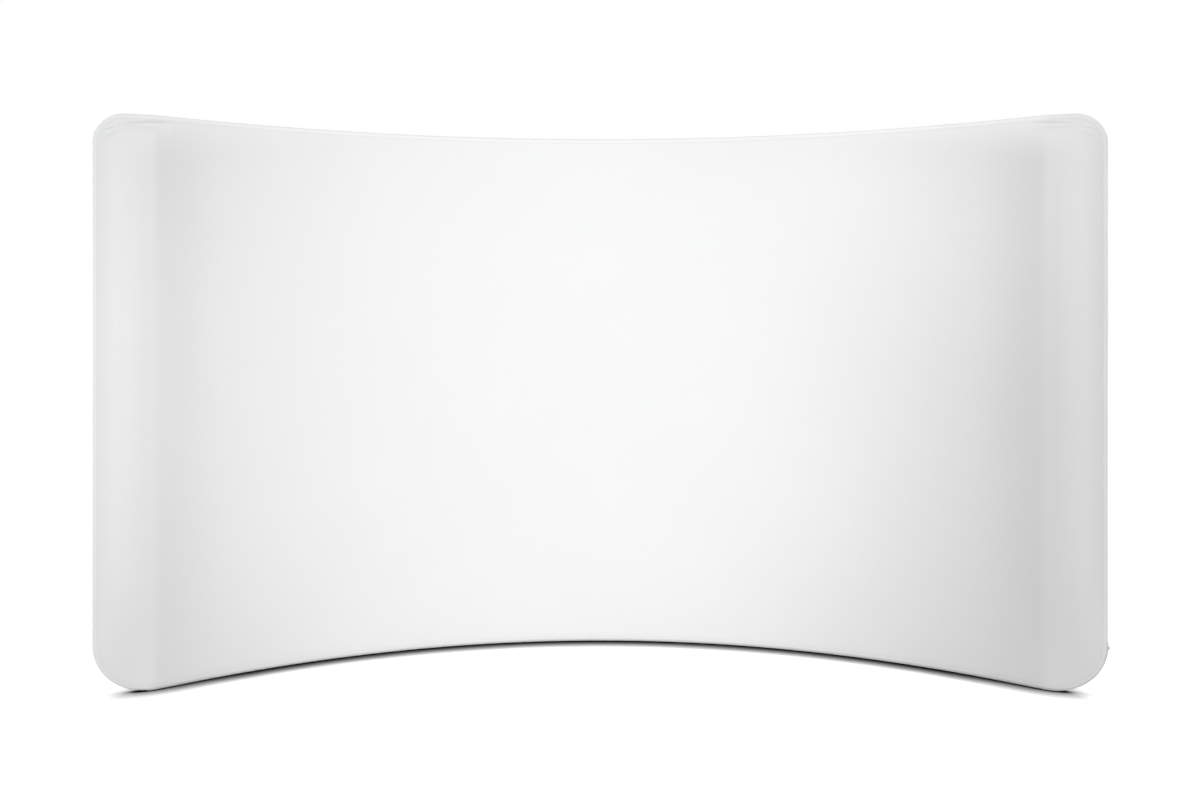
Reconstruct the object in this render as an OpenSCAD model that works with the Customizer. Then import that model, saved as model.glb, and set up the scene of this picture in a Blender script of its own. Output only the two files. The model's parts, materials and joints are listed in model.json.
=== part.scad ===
// Curved tension-fabric display backwall.
// A slim tube frame, bent to a concave arc in plan, stands inside a zipped stretch cover.
// Frame: top and bottom rails in four lengths, four corner tubes, two-part side uprights
// and two-part centre posts. Every joint is an inner sleeve, riveted into one tube and
// held in the other by a spring button.
// X runs to the right seen from the front, -Y is the concave front, Z is up and the
// origin is on the floor under the middle of the wall's box. All sizes are millimetres.

/* [Overall] */
// Overall width of the covered wall
wall_w = 4000; // [3300:10:4900]
// Overall height of the covered wall, floor to top
wall_h = 2300; // [1900:10:2800]

/* [Plan curve] */
// Radius of the rails' centre line, seen from above
curve_r = 3000; // [2400:10:4000]
// Sine of the angle by which each corner tube turns back out, seen from above
wing_turn_sine = 0.28; // [0.28:7 in 24, 0.352:44 in 117, 0.6:3 in 4]
// Radius of that turn
wing_turn_r = 100; // [90:5:300]
// Straight start of a corner tube, which takes half of a sleeve
wing_stub = 114; // [62:1:140]
// From the end of that turn to the upright's centre line
wing_l = 190; // [186:1:300]

/* [Corners] */
// Centre line radius of the two top bends
top_bend_r = 105; // [80:1:140]
// Centre line radius of the two bottom bends
bottom_bend_r = 180; // [150:1:185]
// From the wall's top, or from the floor, to the joint in each upright
corner_reach = 265; // [262:1:400]

/* [Tubes] */
// Outer diameter of every frame tube
tube_od = 32; // [25:0.5:40]
// Wall of the frame tubes
tube_wall = 1.5; // [1.2:0.1:2]
// Distance of each centre post from the middle, along X
post_x = 480; // [350:10:600]

/* [Sleeves] */
// Length of a joint sleeve
sleeve_l = 120; // [100:1:124]
// Wall of a joint sleeve
sleeve_wall = 1.3; // [1:0.1:1.6]
// Gap all round between a sleeve and the tube it sits in
sleeve_gap = 0.2; // [0.1:0.05:0.4]
// Length of a post stub above the rail it is welded to
stub_l = 55; // [40:1:90]
// Gap between a post and the rail it stands on
seat_gap = 0.3; // [0.2:0.1:0.6]
// Thickness of the weld bead's gap under a stub
weld_gap = 0.1; // [0.05:0.05:0.3]

/* [Spring buttons] */
// Diameter of a spring button
button_d = 8; // [6:0.5:9]
// Gap all round between the button and its holes
button_gap = 0.5; // [0.4:0.1:0.8]
// How far the button stands out of the tube
button_proud = 3; // [2:0.5:4]
// From the joint line to the button, along the tube
button_at = 30; // [26:1:40]
// From the button to the root of its spring arm
arm_l = 50; // [40:1:52]
// Thickness of the spring strip
strip_t = 0.8; // [0.6:0.1:1]
// Width of the spring strip
strip_w = 7; // [5:0.5:8]
// Gap between the spring strip and the sleeve's wall, at the strip's middle
strip_gap = 0.9; // [0.8:0.05:1.3]
// Gap between the moving arm's round root and the fixed bend
root_gap = 0.3; // [0.2:0.05:0.5]

/* [Rivets] */
// Shank diameter of a sleeve rivet
rivet_d = 4.8; // [3.2:0.1:6]
// Head diameter of a sleeve rivet
rivet_head_d = 9; // [7:0.5:11]
// Head height of a sleeve rivet
rivet_head_h = 1.3; // [0.8:0.1:2]
// From the joint line to the rivet, along the tube
rivet_at = 45; // [44:1:50]

/* [Cover] */
// Thickness of the cover fabric
cover_t = 1; // [0.6:0.1:1.5]
// Gap all round between the tubes and the cover
cover_gap = 0.8; // [0.5:0.1:1.5]
// Gap between the front and the back panel where their seam runs
seam_gap = 0.3; // [0.2:0.1:0.6]

/* [Zip] */
// Half width left open between the panels along the zip
zip_half_gap = 6.5; // [6:0.1:8]
// Half width of the zip with its tapes
zip_tape_half_w = 12; // [10:0.5:14]
// Thickness of a zip tape
zip_tape_t = 0.7; // [0.5:0.1:1]
// Half width of the closed zip chain
zip_chain_half_w = 3.2; // [2.5:0.1:3.5]
// Height of the zip chain
zip_chain_h = 2; // [1.5:0.1:2.5]
// Half of the slit between the two sides of the zip
zip_half_slit = 0.8; // [0.7:0.1:1]
// Gap between the layers of the zip, and round its slider
zip_gap = 0.3; // [0.25:0.05:0.4]
// How far the zip runs up past the right bottom bend
zip_rise = 12; // [6:1:20]
// Length of the slider along the zip
slider_l = 14; // [10:1:18]
// Length of the pull tab, from its pin
pull_l = 36; // [25:1:45]

/* [Hidden] */
// ---- derived sizes ----
tube_r = tube_od / 2;
bore_r = tube_r - tube_wall;
sleeve_r = bore_r - sleeve_gap;
sleeve_bore_r = sleeve_r - sleeve_wall;
cover_in = tube_r + cover_gap;
cover_out = cover_in + cover_t;
tape_in = cover_out + zip_gap;
tape_out = tape_in + zip_tape_t;
chain_in = tape_out + zip_gap;
chain_out = chain_in + zip_chain_h;

// centre heights of the two rail rows: the chain's flat underside is on the floor
bottom_z = chain_out;
top_z = wall_h - cover_out;
low_bend_z = bottom_z + bottom_bend_r;
upright_joint_low = corner_reach;
upright_joint_high = wall_h - corner_reach;
upright_joint_mid = wall_h / 2;

// ---- plan: half angle of the arc, from the overall width ----
// half width = curve_r sin(a) + stub cos(a) + the turn + wing_l cos(a - turn) + cover_out
wing_turn = asin(wing_turn_sine);
plan_p = curve_r + wing_turn_r * (1 - cos(wing_turn)) + wing_l * sin(wing_turn);
plan_q = wing_stub + wing_turn_r * sin(wing_turn) + wing_l * cos(wing_turn);
half_angle = asin((wall_w / 2 - cover_out) / norm([plan_p, plan_q])) - atan2(plan_q, plan_p);
wing_angle = half_angle - wing_turn;

// how far the wing's upright lies in front of the end of the arc
wing_depth = wing_stub * sin(half_angle) + wing_l * sin(wing_angle)
           + wing_turn_r * (cos(wing_angle) - cos(half_angle));
// the arc's centre, placed so that the wall's box is centred on the origin
arc_y = -(curve_r + curve_r * cos(half_angle) - wing_depth) / 2;

// ---- joints: four equal rails in a row ----
rail_count = 4;
rail_angle = 2 * half_angle / rail_count;
inner_joints = [for (i = [1 : rail_count - 1]) -half_angle + i * rail_angle];
post_angle = asin(post_x / curve_r);
post_foot = bottom_z + tube_r + seat_gap;
post_head = top_z - tube_r - seat_gap;

// ---- spring clip ----
strip_out = sleeve_bore_r - strip_gap;
strip_in = strip_out - strip_t;
strip_mid = strip_out - strip_t / 2;
arm_tip = button_d / 2 + 1.5;
root_angle = (strip_t / 2 + root_gap) / strip_mid * 180 / PI;
button_top = tube_r + button_proud;
button_dome_r = 0.75 * button_d;
button_hole_r = button_d / 2 + button_gap;

// ---- rivet ----
rivet_hole_r = rivet_d / 2 + 0.1;
rivet_seat = tube_r + 0.05;
rivet_tail_r = rivet_d / 2 + 1.2;
rivet_tail_h = 1.4;
// the flat tail lies across the sleeve's round bore
rivet_tail_out = sqrt(pow(sleeve_bore_r, 2) - pow(rivet_tail_r, 2)) - 0.05;
rivet_tail_in = rivet_tail_out - rivet_tail_h;
drill_from = 6;
drill_to = tube_r + 4;

// ---- zip slider, in the plane of the right bottom bend ----
slider_half_w = zip_chain_half_w + zip_gap + 1.2;
slider_in = tube_r + 0.4;
slider_in_top = tape_in - 0.4;
slider_neck_w = 2 * (zip_half_slit - zip_gap);
slider_plate = chain_out + zip_gap;
slider_plate_t = 1.4;
slider_out = slider_plate + slider_plate_t;
slider_span = slider_l / (bottom_bend_r + slider_plate) * 180 / PI;
slider_mid = -slider_span * 0.75;
pin_r = 1;
pin_fit = 0.08;
pin_rise = 2.4;
lug_r = 2.1;
lug_t = 1.2;
pull_w = slider_half_w * 2 - 2 * lug_t - 0.6;
pull_t = 1.2;
pull_eye_r = 2;
stop_l = 6;

// facets: the great arc needs a fine polygon, everything else is small
$fn = 48;
arc_fn = 256;
bend_fn = 128;
// a swept piece runs on by this angle, and is cut off by a block of this size
over_run = 0.5;
cut_l = 100;

// ---------------------------------------------------------------- places

// A place on the rails' centre line: x runs along the rail, y to the back
module on_arc(angle, z) {
    translate([0, arc_y, 0]) rotate([0, 0, -angle]) translate([0, curve_r, z]) children();
}

// The right wing's own frame after the turn: x outward along the wing, y to the back
module in_wing() {
    on_arc(half_angle, 0)
        translate([wing_stub, wing_turn_r, 0])
            rotate([0, 0, wing_turn])
                translate([0, -wing_turn_r, 0])
                    children();
}

// The left half is the mirror image of the right half
module on_side(side) {
    if (side > 0) children();
    else mirror([1, 0, 0]) children();
}

// ---------------------------------------------------------------- sweeps

// Sections of the rows have X to the front and Y up, in the wall's own heights.
// Each sweep over-runs where it meets the next, and is cut there on a true plane.

// The right half of the great arc, from the middle of the wall to the arc's end
module sweep_arc_half() {
    difference() {
        on_arc(half_angle, 0)
            translate([0, -curve_r, 0])
                rotate_extrude(angle = half_angle + over_run, start = 90, $fn = arc_fn)
                    translate([curve_r, 0])
                        mirror([1, 0, 0])
                            children();
        translate([-cut_l, arc_y + curve_r - cut_l / 2, -cut_l])
            cube([cut_l, cut_l, wall_h + 2 * cut_l]);
    }
}

module sweep_x(from, to) {
    translate([to, 0, 0]) rotate([90, 0, -90]) linear_extrude(to - from) children();
}

// From the end of the arc through the turn to a length along the wing
module sweep_wing(length) {
    on_arc(half_angle, 0) sweep_x(0, wing_stub) children();
    difference() {
        on_arc(half_angle, 0)
            translate([wing_stub, wing_turn_r, 0])
                rotate_extrude(angle = wing_turn + over_run, start = 270, $fn = bend_fn)
                    translate([wing_turn_r, 0])
                        children();
        in_wing() translate([0, -cut_l / 2, -cut_l]) cube([cut_l, cut_l, wall_h + 2 * cut_l]);
    }
    in_wing() sweep_x(0, length) children();
}

// Round a bend of the wing's end. The section has X outward and Y to the front.
module sweep_bend(bend_r, z, start) {
    in_wing()
        translate([wing_l - bend_r, 0, z])
            rotate([90, 0, 0])
                rotate_extrude(angle = 90, start = start, $fn = bend_fn)
                    translate([bend_r, 0])
                        children();
}

module sweep_top_bend() { sweep_bend(top_bend_r, top_z - top_bend_r, 0) children(); }

module sweep_low_bend() { sweep_bend(bottom_bend_r, low_bend_z, 270) children(); }

// Up along the upright, with the same section
module sweep_upright(from, to) {
    in_wing() translate([wing_l, 0, from]) linear_extrude(to - from) mirror([0, 1, 0]) children();
}

// ---------------------------------------------------------------- tubes

module ring(outer, inner) {
    difference() {
        circle(r = outer);
        circle(r = inner);
    }
}

// A length of curved tube between two angles of the great arc
module arc_tube(from, to, z, outer, inner) {
    translate([0, arc_y, z])
        rotate_extrude(angle = to - from, start = 90 - to, $fn = arc_fn)
            translate([curve_r, 0])
                ring(outer, inner);
}

// A straight tube along X that starts at the origin
module tube_x(length, outer, inner) {
    rotate([0, 90, 0]) linear_extrude(length) ring(outer, inner);
}

module tube_z(from, to, outer, inner) {
    translate([0, 0, from]) linear_extrude(to - from) ring(outer, inner);
}

// A corner tube: sleeve end, turn in plan, leg, upright bend, upright leg
module corner(side, top) {
    color("silver")
        on_side(side)
            difference() {
                if (top) {
                    sweep_wing(wing_l - top_bend_r) translate([0, top_z]) ring(tube_r, bore_r);
                    sweep_top_bend() ring(tube_r, bore_r);
                    sweep_upright(upright_joint_high, top_z - top_bend_r) ring(tube_r, bore_r);
                } else {
                    sweep_wing(wing_l - bottom_bend_r)
                        translate([0, bottom_z])
                            ring(tube_r, bore_r);
                    sweep_low_bend() ring(tube_r, bore_r);
                    sweep_upright(low_bend_z, upright_joint_low) ring(tube_r, bore_r);
                }
                row_drills_outer(top);
                side_drills();
            }
}

module rail(number, top) {
    start = -half_angle + (number - 1) * rail_angle;
    color("silver")
        difference() {
            arc_tube(start, start + rail_angle, top ? top_z : bottom_z, tube_r, bore_r);
            row_drills(top);
            mirror([1, 0, 0]) row_drills_outer(top);
        }
}

module upright(side, from, to) {
    color("silver")
        on_side(side)
            difference() {
                in_wing() translate([wing_l, 0, 0]) tube_z(from, to, tube_r, bore_r);
                side_drills();
            }
}

module post(side, from, to) {
    color("silver")
        on_side(side)
            difference() {
                on_arc(post_angle, 0) tube_z(from, to, tube_r, bore_r);
                post_drills();
            }
}

// ---------------------------------------------------------------- joint places

// A clip's own frame: the button points up, and its arm runs back along -X.
// The bottom row's buttons point up into the wall, the top row's point down.
module row_flip(top) {
    if (top) rotate([180, 0, 0]) children();
    else children();
}

module on_row(angle, along, top) {
    on_arc(angle, top ? top_z : bottom_z) translate([along, 0, 0]) row_flip(top) children();
}

// Button places of a row: on the rail to the right of each inner joint
module inner_button_places(top, which = [0 : rail_count - 2]) {
    for (i = which)
        on_row(inner_joints[i] + button_at / curve_r * 180 / PI, 0, top) children();
}

module inner_rivet_places(top) {
    for (a = inner_joints)
        on_row(a - rivet_at / curve_r * 180 / PI, 0, top) children();
}

// The joint at the right end of the arc: its button is in the rail, its rivet in the corner
module outer_button_place(top) {
    on_row(half_angle - button_at / curve_r * 180 / PI, 0, top)
        rotate([0, 0, 180])
            children();
}

module outer_rivet_place(top) {
    on_row(half_angle, rivet_at, top) children();
}

// Uprights: buttons point in along the wing, and the arm runs down from the button
module on_upright(z) {
    in_wing() translate([wing_l, 0, z]) rotate([0, -90, 0]) children();
}

module low_button_place() { on_upright(upright_joint_low + button_at) children(); }
module mid_button_place() { on_upright(upright_joint_mid + button_at) children(); }

// The top corner holds the rivet, so this clip hangs the other way up
module high_button_place() {
    on_upright(upright_joint_high - button_at) rotate([0, 0, 180]) children();
}

module upright_rivet_places() {
    on_upright(upright_joint_low - rivet_at) children();
    on_upright(upright_joint_mid - rivet_at) children();
    on_upright(upright_joint_high + rivet_at) children();
}

// Posts: buttons point to the middle of the wall
module on_post(z) {
    on_arc(post_angle, z) rotate([0, -90, 0]) children();
}

module post_button_place() { on_post(upright_joint_mid + button_at) children(); }
module post_rivet_place() { on_post(upright_joint_mid - rivet_at) children(); }

// ---------------------------------------------------------------- drilled holes

module drill(radius) {
    translate([0, 0, drill_from]) cylinder(r = radius, h = drill_to - drill_from);
}

module row_drills_outer(top) {
    outer_button_place(top) drill(button_hole_r);
    outer_rivet_place(top) drill(rivet_hole_r);
}

module row_drills(top) {
    inner_button_places(top) drill(button_hole_r);
    inner_rivet_places(top) drill(rivet_hole_r);
    row_drills_outer(top);
}

module side_drills() {
    low_button_place() drill(button_hole_r);
    mid_button_place() drill(button_hole_r);
    high_button_place() drill(button_hole_r);
    upright_rivet_places() drill(rivet_hole_r);
}

module post_drills() {
    post_button_place() drill(button_hole_r);
    post_rivet_place() drill(rivet_hole_r);
}

// ---------------------------------------------------------------- sleeves and stubs

half_sleeve_angle = sleeve_l / 2 / curve_r * 180 / PI;

module row_sleeves(top) {
    z = top ? top_z : bottom_z;
    color("dimgray")
        difference() {
            union() {
                for (a = inner_joints)
                    arc_tube(a - half_sleeve_angle, a + half_sleeve_angle, z,
                             sleeve_r, sleeve_bore_r);
                for (side = [-1, 1])
                    on_side(side) {
                        on_arc(half_angle, z)
                            translate([0, -curve_r, 0])
                                rotate_extrude(angle = half_sleeve_angle, start = 90,
                                               $fn = arc_fn)
                                    translate([curve_r, 0])
                                        ring(sleeve_r, sleeve_bore_r);
                        on_arc(half_angle, z) tube_x(sleeve_l / 2, sleeve_r, sleeve_bore_r);
                    }
            }
            row_drills(top);
            mirror([1, 0, 0]) row_drills_outer(top);
        }
}

module side_sleeves(side) {
    color("dimgray")
        on_side(side)
            difference() {
                in_wing()
                    for (z = [upright_joint_low, upright_joint_mid, upright_joint_high])
                        translate([wing_l, 0, 0])
                            tube_z(z - sleeve_l / 2, z + sleeve_l / 2, sleeve_r, sleeve_bore_r);
                side_drills();
            }
}

module post_sleeves() {
    color("dimgray")
        for (side = [-1, 1])
            on_side(side)
                difference() {
                    on_arc(post_angle, 0)
                        tube_z(upright_joint_mid - sleeve_l / 2, upright_joint_mid + sleeve_l / 2,
                               sleeve_r, sleeve_bore_r);
                    post_drills();
                }
}

// A stub's foot is cut to the rail's round top, where it is welded on
module post_stub(top) {
    on_row(post_angle, 0, top)
        difference() {
            tube_z(0, tube_r + stub_l, sleeve_r, sleeve_bore_r);
            rotate([0, 90, 0]) cylinder(r = tube_r + weld_gap, h = 4 * tube_r, center = true);
        }
}

module post_stubs() {
    color("dimgray")
        for (side = [-1, 1])
            on_side(side) {
                post_stub(false);
                post_stub(true);
            }
}

// ---------------------------------------------------------------- rivets

// Dome head outside, shank through both walls, spread tail inside the sleeve
module rivet() {
    head_r = rivet_head_d / 2;
    dome_r = (head_r * head_r + rivet_head_h * rivet_head_h) / (2 * rivet_head_h);
    intersection() {
        translate([0, 0, rivet_seat + rivet_head_h - dome_r]) sphere(r = dome_r);
        translate([0, 0, rivet_seat]) cylinder(r = head_r + 1, h = rivet_head_h + 1);
    }
    translate([0, 0, rivet_tail_out])
        cylinder(r = rivet_d / 2, h = rivet_seat - rivet_tail_out);
    translate([0, 0, rivet_tail_in])
        cylinder(r = rivet_tail_r, h = rivet_tail_h);
}

module sleeve_rivets() {
    color("gainsboro") {
        for (top = [false, true]) {
            inner_rivet_places(top) rivet();
            for (side = [-1, 1]) on_side(side) outer_rivet_place(top) rivet();
        }
        for (side = [-1, 1])
            on_side(side) {
                upright_rivet_places() rivet();
                post_rivet_place() rivet();
            }
    }
}

// ---------------------------------------------------------------- spring clips

// The strip's outline lies along X with the button side up; width is front to back
module strip() {
    rotate([90, 0, 0]) translate([0, 0, -strip_w / 2]) linear_extrude(strip_w) children();
}

// Everything to the right of the Y axis, over the strip's bend
module right_half() {
    translate([0, -2 * strip_out]) square([2 * strip_out, 4 * strip_out]);
}

// The fixed half of a spring clip: its back leg and the round bend up to the arm's root
module clip_leg() {
    strip() {
        translate([-arm_l, -strip_out]) square([arm_l + arm_tip, strip_t]);
        translate([-arm_l, 0])
            difference() {
                ring(strip_out, strip_in);
                right_half();
                rotate(root_angle) right_half();
            }
    }
}

// The moving half: the arm with its round root, and the button with a domed crown
module spring_button() {
    strip() {
        translate([-arm_l, strip_in]) square([arm_l + arm_tip, strip_t]);
        translate([-arm_l, strip_mid]) circle(d = strip_t);
    }
    translate([0, 0, strip_out])
        rotate_extrude()
            intersection() {
                square([button_d / 2, button_top - strip_out]);
                translate([0, button_top - strip_out - button_dome_r]) circle(r = button_dome_r);
            }
}

module spring_clips() {
    color("lightsteelblue") {
        for (top = [false, true]) {
            inner_button_places(top) clip_leg();
            for (side = [-1, 1]) on_side(side) outer_button_place(top) clip_leg();
        }
        for (side = [-1, 1])
            on_side(side) {
                low_button_place() clip_leg();
                mid_button_place() clip_leg();
                high_button_place() clip_leg();
                post_button_place() clip_leg();
            }
    }
}

// Buttons of a row are numbered from the left
module row_button(number, top) {
    color("lightsteelblue")
        if (number == 1) mirror([1, 0, 0]) outer_button_place(top) spring_button();
        else if (number == rail_count + 1) outer_button_place(top) spring_button();
        else inner_button_places(top, [number - 2]) spring_button();
}

// Buttons of an upright are numbered from the floor
module side_button(number, side) {
    color("lightsteelblue")
        on_side(side) {
            if (number == 1) low_button_place() spring_button();
            if (number == 2) mid_button_place() spring_button();
            if (number == 3) high_button_place() spring_button();
        }
}

module post_button(side) {
    color("lightsteelblue") on_side(side) post_button_place() spring_button();
}

// ---------------------------------------------------------------- cover

// Sections are drawn about a tube's centre. Most have X outward, away from the wall's
// middle, and Y to the front; full-height ones have X to the front and Z's heights as Y.

// The quarter of the cover that wraps a tube, from the face to the seam
module wrap(seam) {
    intersection() {
        ring(cover_out, cover_in);
        translate([0, seam]) square(cover_out);
    }
}

// The same with a flat run of the face behind it
module edge(run, seam) {
    translate([-run, cover_in]) square([run, cover_t]);
    wrap(seam);
}

// Swaps the two directions of a section
module swapped() { mirror([1, -1, 0]) children(); }

// Front sections face +Y, back sections are mirrored
module to_face(face) {
    if (face > 0) children();
    else mirror([0, 1, 0]) children();
}

// A panel from the floor seam, or the zip, up to the top seam
module full_section(face, low_seam) {
    swapped()
        to_face(face) {
            translate([bottom_z, cover_in]) square([top_z - bottom_z, cover_t]);
            translate([top_z, 0]) wrap(seam_gap / 2);
            translate([bottom_z, 0]) mirror([1, 0, 0]) wrap(low_seam);
        }
}

// The part of it above the bottom bend
module upper_section(face) {
    swapped()
        to_face(face) {
            translate([low_bend_z, cover_in]) square([top_z - low_bend_z, cover_t]);
            translate([top_z, 0]) wrap(seam_gap / 2);
        }
}

// One half of a panel: half the arc, the wing, and the rounded end round the upright
module panel_half(face, zipped) {
    corner_seam = zipped ? zip_half_gap : seam_gap / 2;
    rise = zipped ? zip_rise : 0;
    sweep_arc_half() full_section(face, zip_half_gap);
    sweep_wing(wing_l - bottom_bend_r) full_section(face, zip_half_gap);
    in_wing() sweep_x(wing_l - bottom_bend_r, wing_l - top_bend_r) upper_section(face);
    sweep_top_bend() to_face(face) edge(top_bend_r, seam_gap / 2);
    sweep_low_bend() to_face(face) edge(bottom_bend_r, corner_seam);
    if (rise > 0)
        sweep_upright(low_bend_z, low_bend_z + rise)
            to_face(face)
                edge(top_bend_r, zip_half_gap);
    sweep_upright(low_bend_z + rise, top_z - top_bend_r)
        to_face(face)
            edge(top_bend_r, seam_gap / 2);
}

module panel(face) {
    color("white") {
        panel_half(face, true);
        mirror([1, 0, 0]) panel_half(face, false);
    }
}

// ---------------------------------------------------------------- zip

module tape_section() {
    intersection() {
        ring(tape_out, tape_in);
        translate([0, zip_half_slit]) square([tape_out, zip_tape_half_w - zip_half_slit]);
    }
}

module chain_section() {
    translate([chain_in, zip_half_slit])
        square([zip_chain_h, zip_chain_half_w - zip_half_slit]);
}

// Turns an outward section to the underside of the bottom row
module under_row() { translate([0, bottom_z]) rotate(-90) children(); }

// Along the whole zip: both halves of the row, then round the right bend and up
module sweep_zip() {
    for (side = [-1, 1])
        on_side(side) {
            sweep_arc_half() under_row() children();
            sweep_wing(wing_l - bottom_bend_r) under_row() children();
        }
    sweep_low_bend() children();
    sweep_upright(low_bend_z, low_bend_z + zip_rise) children();
}

module zip_tape(face) {
    color("whitesmoke") sweep_zip() to_face(face) tape_section();
}

module zip_chain(face) {
    color("whitesmoke") sweep_zip() to_face(face) chain_section();
}

// A stop closes the slit between the two sides at each end of the chain
module zip_stops() {
    block = [zip_chain_h, 2 * zip_half_slit];
    rise = low_bend_z + zip_rise;
    color("white") {
        sweep_upright(rise - stop_l, rise) translate([chain_in, -zip_half_slit]) square(block);
        mirror([1, 0, 0])
            in_wing()
                sweep_x(wing_l - bottom_bend_r - stop_l, wing_l - bottom_bend_r)
                    under_row()
                        translate([chain_in, -zip_half_slit])
                            square(block);
    }
}

// The slider's own frame on the bend: x outward from the tube's centre, z up the zip
module at_slider() {
    in_wing()
        translate([wing_l - bottom_bend_r, 0, low_bend_z])
            rotate([0, -slider_mid, 0])
                translate([bottom_bend_r, 0, 0])
                    children();
}

// A section of the slider, swept a short way round the bend
module sweep_slider() {
    in_wing()
        translate([wing_l - bottom_bend_r, 0, low_bend_z])
            rotate([90, 0, 0])
                rotate_extrude(angle = slider_span, start = 360 + slider_mid - slider_span / 2,
                               $fn = bend_fn)
                    translate([bottom_bend_r, 0])
                        children();
}

// Inner plate, neck through the slit, outer plate and its two side flanges
module slider_section() {
    intersection() {
        ring(slider_in_top, slider_in);
        translate([0, -slider_half_w]) square([slider_in_top, 2 * slider_half_w]);
    }
    translate([slider_in_top - 0.5, -slider_neck_w / 2])
        square([slider_plate - slider_in_top + 1, slider_neck_w]);
    translate([slider_plate, -slider_half_w]) square([slider_plate_t, 2 * slider_half_w]);
    for (side = [-1, 1])
        translate([chain_in, side > 0 ? zip_chain_half_w + zip_gap : -slider_half_w])
            square([slider_plate - chain_in, slider_half_w - zip_chain_half_w - zip_gap]);
}

// The slider seen from below, with round shoulders
module slider_outline() {
    shoulder_r = 0.6 * slider_half_w;
    for (along = [-1, 1], across = [-1, 1])
        translate([along * (slider_l / 2 - shoulder_r), across * (slider_half_w - shoulder_r)])
            circle(r = shoulder_r);
    square([slider_l, 2 * (slider_half_w - shoulder_r)], center = true);
    square([slider_l - 2 * shoulder_r, 2 * slider_half_w], center = true);
}

// One ear for the pull's pin, on the outer plate
module slider_lug(side) {
    translate([0, side * (slider_half_w - lug_t / 2), 0])
        rotate([90, 0, 0])
            translate([0, 0, -lug_t / 2])
                linear_extrude(lug_t) {
                    translate([slider_out + pin_rise, 0]) circle(r = lug_r);
                    translate([slider_out - 0.5, -lug_r]) square([pin_rise + 0.5, 2 * lug_r]);
                }
}

module zip_slider() {
    color("white") {
        intersection() {
            sweep_slider() slider_section();
            at_slider()
                rotate([0, 90, 0])
                    linear_extrude(slider_out + 1)
                        slider_outline();
        }
        at_slider() {
            slider_lug(-1);
            slider_lug(1);
            translate([slider_out + pin_rise, 0, 0])
                rotate([90, 0, 0])
                    cylinder(r = pin_r, h = 2 * slider_half_w - lug_t, center = true);
        }
    }
}

// The pull hangs plumb from its pin: an eye, a flat tab and a finger slot
module zip_pull() {
    slot_w = pull_w - 3.6;
    slot_l = pull_l / 2.5;
    color("white")
        at_slider()
            translate([slider_out + pin_rise, 0, 0])
                rotate([0, slider_mid, 0])
                    difference() {
                        union() {
                            rotate([90, 0, 0])
                                cylinder(r = pull_eye_r, h = pull_w, center = true);
                            translate([-pull_t / 2, 0, 0])
                                rotate([90, 0, 90])
                                    linear_extrude(pull_t) {
                                        translate([-pull_w / 2, -pull_l + pull_w / 2])
                                            square([pull_w, pull_l - pull_w / 2]);
                                        translate([0, -pull_l + pull_w / 2])
                                            circle(d = pull_w);
                                    }
                        }
                        rotate([90, 0, 0])
                            cylinder(r = pin_r + pin_fit, h = 2 * pull_w, center = true);
                        translate([-pull_t, 0, 0])
                            rotate([90, 0, 90])
                                linear_extrude(2 * pull_t) {
                                    translate([-slot_w / 2, -pull_l + pull_w / 2])
                                        square([slot_w, slot_l]);
                                    translate([0, -pull_l + pull_w / 2]) circle(d = slot_w);
                                    translate([0, -pull_l + pull_w / 2 + slot_l])
                                        circle(d = slot_w);
                                }
                    }
}

// ---------------------------------------------------------------- the parts

corner(-1, true);  // corner_top_left
corner(1, true);  // corner_top_right
corner(-1, false);  // corner_bottom_left
corner(1, false);  // corner_bottom_right
rail(1, true);  // top_rail_1
rail(2, true);  // top_rail_2
rail(3, true);  // top_rail_3
rail(4, true);  // top_rail_4
rail(1, false);  // bottom_rail_1
rail(2, false);  // bottom_rail_2
rail(3, false);  // bottom_rail_3
rail(4, false);  // bottom_rail_4
upright(-1, upright_joint_low, upright_joint_mid);  // left_upright_lower
upright(-1, upright_joint_mid, upright_joint_high);  // left_upright_upper
upright(1, upright_joint_low, upright_joint_mid);  // right_upright_lower
upright(1, upright_joint_mid, upright_joint_high);  // right_upright_upper
post(-1, post_foot, upright_joint_mid);  // left_post_lower
post(-1, upright_joint_mid, post_head);  // left_post_upper
post(1, post_foot, upright_joint_mid);  // right_post_lower
post(1, upright_joint_mid, post_head);  // right_post_upper
row_sleeves(true);  // top_sleeves
row_sleeves(false);  // bottom_sleeves
side_sleeves(-1);  // left_sleeves
side_sleeves(1);  // right_sleeves
post_sleeves();
post_stubs();
sleeve_rivets();
spring_clips();
row_button(1, true);  // top_button_1
row_button(2, true);  // top_button_2
row_button(3, true);  // top_button_3
row_button(4, true);  // top_button_4
row_button(5, true);  // top_button_5
row_button(1, false);  // bottom_button_1
row_button(2, false);  // bottom_button_2
row_button(3, false);  // bottom_button_3
row_button(4, false);  // bottom_button_4
row_button(5, false);  // bottom_button_5
side_button(1, -1);  // left_button_1
side_button(2, -1);  // left_button_2
side_button(3, -1);  // left_button_3
side_button(1, 1);  // right_button_1
side_button(2, 1);  // right_button_2
side_button(3, 1);  // right_button_3
post_button(-1);  // post_button_left
post_button(1);  // post_button_right
panel(1);  // front_panel
panel(-1);  // back_panel
zip_tape(1);  // zip_tape_front
zip_tape(-1);  // zip_tape_back
zip_chain(1);  // zip_chain_front
zip_chain(-1);  // zip_chain_back
zip_stops();
zip_slider();
zip_pull();
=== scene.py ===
# %% [markdown]
# # A curved display wall in stretch cloth
#
# The real thing is a slim aluminium tube frame, bent to an arc, inside a white knitted
# cover that zips along the floor. Nothing holds the cover but its own tension, so it shows
# the frame's outline exactly: flat faces, round edges where it wraps the tube, and a few
# small folds where the tube turns a corner. The frame's solids come in ready made. This
# script gives them their finish, and makes the cover, its seams and its zip.

import json
import math

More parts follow.
